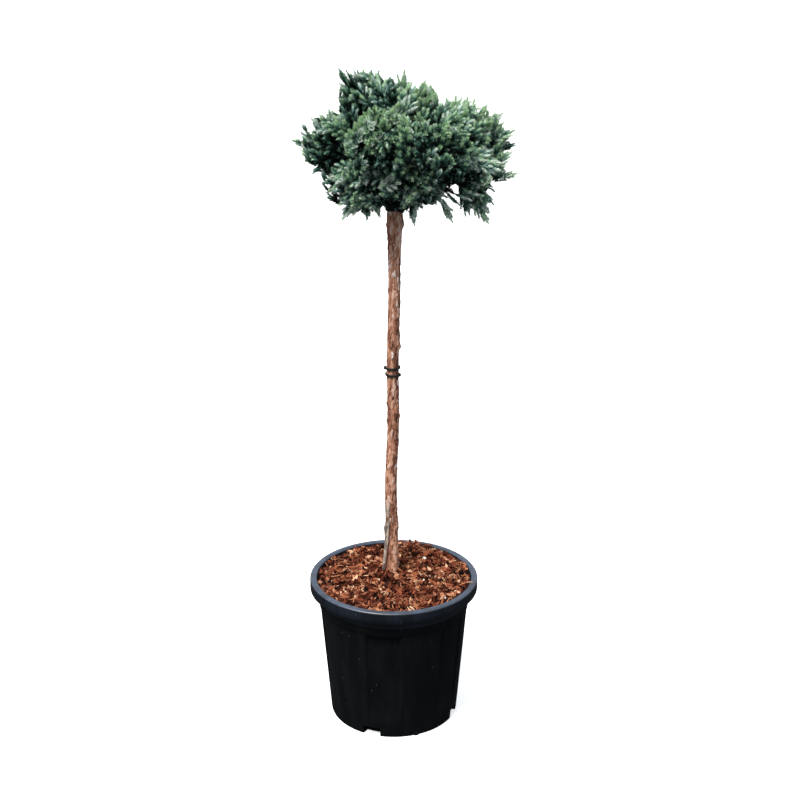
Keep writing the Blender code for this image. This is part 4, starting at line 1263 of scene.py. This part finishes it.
def sprayTips(mass, planes, layer, rng):
    centre = Vector(mass.centre)
    leaders = [Vector(leader) for leader in mass.leaders]
    for direction in sphereDirections(layer.count, rng):
        room, outline = fullerReach(mass, planes, direction, crown["tipMargin"])
        if layer is not mainLayer:
            room += crown["mingle"]
            outline *= 1 - crown["thinBelow"] * max(0, -direction.z)
        tip = centre + direction * min(room, outline * rng.uniform(*layer.reach))
        if layer is not mainLayer or all((tip - leader).length > crown["leaderSpace"] for leader in leaders):
            yield tip


def outwardAt(mass, tip):
    return (tip - Vector(mass.centre)).normalized() + (tip - crown["hub"]).normalized() * crown["fromHub"]


def turnedAcross(across, heading, angle):
    turned = across.normalized()
    turned.rotate(Matrix.Rotation(angle, 3, heading))
    return turned


Spray = namedtuple("Spray", "root heading across length fork")


def shapeSpray(mass, tip, layer, rng):
    length = rng.uniform(*layer.length)
    lift = crown["lift"] if tip.z > crown["waist"] else -crown["lift"] * 0.6
    outward = outwardAt(mass, tip)
    heading = (outward + up * lift + combed(tip, outward) * layer.sweep).normalized()
    fork = boughTip(mass).lerp(Vector(mass.centre), rng.uniform(0.35, 1.0))
    across = turnedAcross(heading.orthogonal(), heading, rng.uniform(0, math.tau))
    if layer.sweep:
        # a leaning spray lies along the face of the crown, turned a little one way or the other
        across = turnedAcross(heading.cross(outward), heading, rng.uniform(-0.6, 0.6))
    return Spray(tip - heading * length, heading, across, length, fork)


def combed(place, outward):
    # a direction along the crown's face, away from the stem and alike for sprays close together
    drift = noise.noise_vector(place * crown["combScale"]) + (place - crown["hub"]).normalized() * 0.7
    return (drift - drift.project(outward)).normalized()


def sprayPoints(spray):
    half = spray.length * crown["sprayWidth"] / 2
    side = ((0.0, 0.3), (0.60, 1.0), (0.55, 0.46), (0.83, 0.70), (0.75, 0.28))
    outline = [*side, (1.0, 0.0), *((along, -out) for along, out in reversed(side))]
    points = [spray.root + spray.heading * along * spray.length + spray.across * out * half
              for along, out in outline]
    middle = spray.root + spray.heading * spray.length * 0.45
    thick = spray.heading.cross(spray.across) * spray.length * crown["sprayThickness"] / 2
    return [*points, middle + thick, middle - thick]


def growSprays(mass, planes):
    # the solid's own sprays, in the solid's own order, and then finer ones within the same reach
    rng = random.Random(f"{crown['seed']} foliage_{mass.name}")
    for tip in leadersFirst(mass, sprayTips(mass, planes, mainLayer, rng)):
        spray = shapeSpray(mass, tip, mainLayer, rng)
        if inGap(tip) or not inside([spray.fork], planes, 2 * crown["twigRadius"]):
            continue
        for _ in range(crown["sprayRolls"]):
            if inside(sprayPoints(spray), planes, 0.0005):
                yield mainLayer, spray
                break
            spray.across.rotate(Matrix.Rotation(math.pi / crown["sprayRolls"], 3, spray.heading))
    for layer in layers[1:]:
        for tip in sprayTips(mass, planes, layer, rng):
            spray = shapeSpray(mass, tip, layer, rng)
            twig = [spray.fork, spray.root, tip]
            if inGap(tip) or not inside(twig, planes, crown["twigRadius"], crown["overlap"]):
                continue
            if layer is not fineLayer or depthOfHollow(tip) < crown["openHollow"]:
                yield layer, spray


def leadersFirst(mass, others):
    yield from (Vector(leader) for leader in mass.leaders)
    yield from others


def fromLine(place, x, z):
    # how far a place is from the line of sight through a spot in the plane of the stem
    spot = Vector((x, 0, z))
    return (place - nearestOn(gapEye, gapEye + (spot - gapEye) * 2, place)).length


def inGap(place):
    return any(fromLine(place, x, z) < radius for x, z, radius in gaps)


def depthOfHollow(place):
    # from 0 on the crown's face to 1 in the middle of a hollow
    if place.y > 0:
        return 0
    return max(max(0, 1 - fromLine(place, x, z) / radius) for x, z, radius in hollows)


# Where the side shoots of a spray end: share along it, across it, and up or down from its blade.
shootPlan = {
    "main": ((0.58, 1.0, 0.1), (0.58, -1.0, -0.1), (0.78, 0.66, 0.1), (0.78, -0.66, -0.1),
             (0.92, 0.28, 0.2), (0.92, -0.28, -0.2), (0.64, 0.15, 1.0), (0.64, -0.15, -1.0),
             (0.38, 0.75, -0.6), (0.38, -0.75, 0.6)),
    "fine": ((0.60, 1.0, 0.2), (0.60, -1.0, -0.2), (0.82, 0.60, 0.3), (0.82, -0.60, -0.3), (0.60, 0.1, 1.0),
             (0.60, -0.1, -1.0)),
    "low": ((0.65, 0.95, 0.2), (0.65, -0.95, -0.2), (0.62, 0.1, 1.0), (0.62, -0.1, -1.0)),
    "inner": ((0.65, 0.95, 0.2), (0.65, -0.95, -0.2), (0.60, 0.0, 1.0)),
}
shoot = {
    "perWhorl": 4,
    "needleLength": 0.0064,
    "needleWidth": 0.0019,
    "needleFold": 0.00045,
    "needleRoot": 0.0006,  # how far from the middle of the shoot they stand
    "baseLean": 40.0,  # degrees out from the shoot at its root
    "tipLean": 15.0,
    "strayLean": 6,
    "strayTurn": 0.22,
    "bodyRadius": 0.0014,
    # in a spray: where the end shoot starts, how far the others stray, and how long they are
    "endRoot": 0.54,
    "strayAlong": (-0.05, 0.05),
    "strayOut": (0.9, 1.12),
    "strayRise": (0.7, 0.95),
    "lengthShare": (0.42, 0.54),
    "needleSpace": 0.0028,
}


def growShoots(kind, spray, planes, rng):
    # (root, tip) of the end shoot and the side shoots of a spray
    half = spray.length * crown["shootSpread"] / 2
    normal = spray.heading.cross(spray.across)
    shoots = [(spray.root + spray.heading * spray.length * shoot["endRoot"],
               spray.root + spray.heading * spray.length)]
    for along, out, rise in shootPlan[kind]:
        along += rng.uniform(*shoot["strayAlong"])
        tip = (spray.root + spray.heading * spray.length * along
               + spray.across * half * out * rng.uniform(*shoot["strayOut"])
               + normal * half * rise * rng.uniform(*shoot["strayRise"]))
        back = rng.uniform(*shoot["lengthShare"]) * spray.length
        root = spray.root + spray.heading * (spray.length * along - back)
        ends = [tip, tip.lerp(root, 0.5)]
        kept = inside(ends, planes, shoot["needleSpace"], crown["overlap"])
        if kept and not any(inGap(place) for place in ends):
            shoots.append((root, tip))
    return shoots


def boughShoots(mass, rng):
    # short shoots that clothe a bough, all round it and slanting forward
    line, _ = zip(*boughLine(mass, 12))
    for number in range(crown["boughShoots"]):
        share = 0.03 + 0.97 * number / crown["boughShoots"]
        step = int(share * 11)
        root = line[step].lerp(line[step + 1], share * 11 - step)
        ahead = (line[step + 1] - line[step]).normalized()
        side = turnedAcross(ahead.orthogonal(), ahead, number * goldenAngle)
        heading = (ahead * 0.7 + side + up * 0.1).normalized()
        yield root, root + heading * rng.uniform(*crown["boughShootLength"])


def wispShoots(mass, tip, rng):
    # a long end shoot, and three shorter ones that hug it
    lift = crown["lift"] if tip.z > crown["waist"] else -crown["lift"] * 1.5
    heading = (outwardAt(mass, tip) + up * lift).normalized()
    tip = tip + heading * crown["wispPast"]
    yield tip - heading * crown["wispLength"], tip
    across = turnedAcross(heading.orthogonal(), heading, rng.uniform(0, math.tau))
    for back, out in crown["wispSides"]:
        end = tip - heading * back + across * out
        yield end - heading * 0.022 - across * out * 0.8, end
        across.rotate(Matrix.Rotation(0.9, 3, heading))


def needleArrays(roots, tips, sizes, whorls, rng):
    # two folded faces a needle, in whorls up each shoot; also each needle's share of the way up
    count, per = len(roots), shoot["perWhorl"]
    length = np.linalg.norm(tips - roots, axis=1)
    heading = unit(tips - roots)
    side, other = sidesOf(heading)
    share = np.repeat((np.arange(whorls) + 0.4) / whorls, per)
    turn = np.tile(np.arange(per) * math.tau / per, whorls)
    turn = turn + np.repeat(np.arange(whorls) * math.pi / per, per)
    n = whorls * per
    turn = turn[None] + rng.uniform(0, math.tau, (count, 1)) + rng.normal(0, shoot["strayTurn"], (count, n))
    share = share[None] + rng.normal(0, 0.02, (count, n))
    lean = shoot["baseLean"] + (shoot["tipLean"] - shoot["baseLean"]) * np.clip(share, 0, 1) ** 1.5
    lean = np.radians(lean + rng.normal(0, shoot["strayLean"], (count, n)))[..., None]
    radial = side[:, None] * np.cos(turn)[..., None] + other[:, None] * np.sin(turn)[..., None]
    ahead = heading[:, None]
    direction = ahead * np.cos(lean) + radial * np.sin(lean)
    size = sizes[:, None] * shoot["needleLength"] * (0.88 + 0.25 * np.sin(np.pi * share) - 0.12 * share ** 2)
    size = (size * rng.uniform(0.88, 1.1, (count, n)))[..., None]
    # the last needles end at the shoot's tip
    reach = length[:, None] - shoot["needleLength"] * 0.85 * sizes[:, None]
    base = roots[:, None] + ahead * (share * reach)[..., None] + radial * shoot["needleRoot"]
    across = unit(np.cross(direction, radial))
    face = unit(np.cross(across, direction))
    face = face * np.sign((face * ahead).sum(-1, keepdims=True))
    wide = across * shoot["needleWidth"] / 2 * sizes[:, None, None]
    belly = base + direction * size * 0.38 + face * shoot["needleFold"]
    points = np.stack([base, base + direction * size, belly - wide, belly + wide], 2)
    return points.reshape(-1, 3), repeatedFaces([[0, 1, 2], [0, 3, 1]], count * n, 4), share


def shootBodies(roots, tips):
    # the green stem inside each shoot: a three-sided spindle
    side, other = sidesOf(unit(tips - roots))
    waist = roots + (tips - roots) * 0.35
    ring = [waist + (side * math.cos(a) + other * math.sin(a)) * shoot["bodyRadius"]
            for a in (0, math.tau / 3, -math.tau / 3)]
    points = np.stack([roots, roots + (tips - roots) * 0.97, *ring], 1)
    one = [(0, 3, 2), (0, 4, 3), (0, 2, 4), (1, 2, 3), (1, 3, 4), (1, 4, 2)]
    return points.reshape(-1, 3), repeatedFaces(one, len(roots), 5)


# The needles' finishes and how they are dealt out. A tone of 0 is the deepest green and 1 the lightest.
foliage = {
    # awl-shaped juniper needles: waxy green ones from a near black, which is painted shade, through deep
    # blue-green to yellow tips, and the ones whose white bloom gives the plant its silver blue
    "waxy": ("#070c0a", "#182f27", "#3a6152", "#618c78", "#8bb49b", "#b9d8ae"),
    "bloomed": ("#3b5d57", "#7aa197", "#b0d0c4", "#deecdf"),
    "usualTone": 0.54,
    # painted light and shade: lighter on top of a mass and darker under it, beside the next mass and in a
    # hollow
    "skyward": 0.30,  # lighter on top of a mass
    "leastSkyward": -0.25,
    "higher": 0.06,  # darker from the foot of the crown to its top
    "seam": 0.26,  # darker beside the next mass
    "seamWidth": 0.016,
    "hollow": 0.50,  # darker in a hollow
    "sprayStray": 0.10,
    "shootStray": 0.07,
    "needleStray": 0.10,
    # painted shade at the root of each shoot, beside the paler new growth at its tip
    "tipward": 0.85,  # lighter from the root of a shoot to its tip
    # painted shade: the tone of the shoots along the boughs, deep in the crown
    "boughTone": (0.10, 0.06),
    "boughBloom": 0.2,
    "bloomShare": (0.34, 0.16),
    "bloomLimits": (0.05, 0.75),
    "bloomLower": 0.6,  # more of them low down
}


def sprayTone(mass, planes, layer, tip, rng):
    outward = (tip - Vector(mass.centre)).normalized()
    height = (tip.z - 0.82) / 0.21
    normals, stand, soft = planes
    edge = (stand - normals @ np.array(tip))[soft > 0].min()
    seam = max(0, 1 - edge / foliage["seamWidth"])
    # painted light on top of a mass, painted shade under it, beside the next mass, in the deeper layers and
    # in a hollow
    level = foliage["usualTone"] + mass.tone + foliage["skyward"] * max(foliage["leastSkyward"], outward.z)
    level = level - foliage["higher"] * (height - 0.5) - foliage["seam"] * seam - layer.shade
    return level - foliage["hollow"] * depthOfHollow(tip) + rng.gauss(0, foliage["sprayStray"])


def silverShare(tip, rng):
    # the share of bloomed needles in a spray
    least, most = foliage["bloomLimits"]
    return min(most, max(least, rng.gauss(*foliage["bloomShare"]) - foliage["bloomLower"] * (tip.z - 0.90)))


def dealTints(tones, silver, shares, rng):
    # the material of each needle, from its shoot's tone and its place up the shoot
    # darker towards a shoot's root with painted shade, paler towards its tip with new growth
    tone = tones[:, None] + foliage["tipward"] * (np.clip(shares, 0, 1) - 0.60)
    tone = tone + rng.normal(0, foliage["needleStray"], shares.shape)
    back = np.clip(np.round(tone * 6), 0, 5).astype(int)
    bloom = np.clip(np.round(tone * 4.4), 0, 3).astype(int) + len(foliage["waxy"])
    bloomed = rng.random((len(tones), 1)) * 0.7 + rng.random(shares.shape) * 0.3 < silver[:, None]
    return np.repeat(np.where(bloomed, bloom, back).reshape(-1), 2)


def makeBoughs():
    # young juniper wood: thin scaly brown bark, its scales about 2 mm across
    youngBark = grainyMaterial("juniper bark, young", "#5a3c2e", 0.9, 0.25, {"Scale": 500, "Detail": 4},
                               [(0.35, "#2b1a13"), (0.7, "#8c6551")], (0.6, 0.0005))
    for mass in masses:
        places, radii = zip(*boughLine(mass, 16))
        places = np.array(places)
        heading = unit(np.gradient(places, axis=0))
        side = unit(np.cross(heading, [0.31, 0.22, 0.92]))
        rings = []
        for place, across, over, radius in zip(places, side, np.cross(heading, side), radii):
            ring = []
            for angle in (step * math.tau / 14 for step in range(14)):
                outward = across * math.cos(angle) + over * math.sin(angle)
                rough = noise.noise(Vector(place * 300 + outward * 1.4)) * 0.00035
                ring.append(place + outward * (radius + rough))
            rings.append(ring)
        points, faces = skinRings(np.array(rings))
        name = f"bough_{mass.name}"
        settle(meshFromArrays(name + "_bark", points, faces, [youngBark], smooth=True), "bark", name)
    print(f"boughs: {len(masses)}")


def growMass(mass, planes):
    # twigs as (places, radii), and for each number of whorls the shoots as rows: root, tip, tone, share
    # of bloomed needles, and size
    rng = random.Random(f"{crown['seed']} shoots {mass.name}")
    shares, centre = (0, 0.25, 0.5, 0.75, 1), Vector(mass.centre)
    places = [[boughTip(mass).lerp(centre, share) for share in shares]]
    radii = [[crown["boughTip"] * share for share in (1.0, 0.95, 0.9, 0.8, 0.7)]]
    shoots = {layer.whorls: [] for layer in layers}
    for layer, spray in growSprays(mass, planes):
        sprayTip = spray.root + spray.heading * spray.length
        tone, silver = sprayTone(mass, planes, layer, sprayTip, rng), silverShare(sprayTip, rng)
        end = spray.root + spray.heading * spray.length * 0.8
        bend = spray.root + (spray.root - spray.fork).normalized() * spray.length * 0.1
        places.append([curved(spray.fork, bend, end, share) for share in shares])
        radii.append([crown["twigRadius"] * share for share in (1.1, 0.9, 0.75, 0.6, 0.35)])
        for root, tip in growShoots(layer.kind, spray, planes, rng):
            looks = (tone + rng.gauss(0, foliage["shootStray"]), silver, layer.size * rng.uniform(0.9, 1.1))
            shoots[layer.whorls].append((*root, *tip, *looks))
    for root, tip in boughShoots(mass, rng):
        looks = (rng.gauss(*foliage["boughTone"]), foliage["boughBloom"], innerLayer.size)
        shoots[innerLayer.whorls].append((*root, *tip, *looks))
    for tip in (Vector(place) for place in (*mass.leaders, *wisps.get(mass.name, ()))):
        tone = sprayTone(mass, planes, fineLayer, tip, rng)
        for root, end in wispShoots(mass, tip, rng):
            looks = (tone + rng.gauss(0, foliage["shootStray"]), silverShare(tip, rng), 0.9)
            shoots[fineLayer.whorls].append((*root, *end, *looks))
    return (np.array(places), np.array(radii)), shoots


def makeMass(mass, materials, twigBark):
    twigs, shoots = growMass(mass, massPlanes(mass))
    rng = np.random.default_rng([crown["seed"], masses.index(mass)])
    points, faces, picked, bodies, total = [], [], [], [], 0
    for whorls, rows in shoots.items():
        table = np.array(rows)
        roots, tips, (tones, silver, sizes) = table[:, :3], table[:, 3:6], table[:, 6:].T
        somePoints, someFaces, shares = needleArrays(roots, tips, sizes, whorls, rng)
        points.append(somePoints)
        faces.append(someFaces + total)
        picked.append(dealTints(tones, silver, shares, rng))
        bodies.append(np.stack([roots, tips], 1))
        total += len(somePoints)
    needles = meshFromArrays(f"needles_{mass.name}", np.concatenate(points), np.concatenate(faces), materials,
                             np.concatenate(picked))
    settle(needles, "foliage", f"foliage_{mass.name}")
    bodies = np.concatenate(bodies)
    woodPoints, woodFaces = tubes(*twigs, 4)
    bodyPoints, bodyFaces = shootBodies(bodies[:, 0], bodies[:, 1])
    faces = np.concatenate([woodFaces, bodyFaces + len(woodPoints)])
    which = np.repeat([0, 1], [len(woodFaces), len(bodyFaces)])
    piece = meshFromArrays(f"twigs_{mass.name}", np.concatenate([woodPoints, bodyPoints]), faces, twigBark,
                           which, smooth=True)
    settle(piece, "bark")
    return len(bodies), total // 4, len(faces)


def makeCrown():
    materials = tintedMaterials("waxy needle", foliage["waxy"], 0.5, 0.35)
    materials += tintedMaterials("bloomed needle", foliage["bloomed"], 0.62, 0.25)
    # last year's wood and this year's: dull, and dark enough to give the foliage depth
    twigBark = [newMaterial("juniper twig, brown", "#33241a", 0.85, 0.25)[0],
                newMaterial("juniper shoot, green", "#1d3527", 0.85, 0.25)[0]]
    counts = np.array([makeMass(mass, materials, twigBark) for mass in masses]).sum(0)
    print(f"crown: {counts[0]} shoots, {counts[1]} needles, {counts[1] * 2 + counts[2]} triangles")


setStage()
print("stage: ready")
makePot()
makeMedium()
makeTrunk()
makeFlakes()
makeTies()
makeBoughs()
makeCrown()

shown = [piece for piece in bpy.data.objects if piece.type == "MESH" and not piece.hide_render]
print(f"triangles shown: {sum(len(face.vertices) - 2 for piece in shown for face in piece.data.polygons)}")
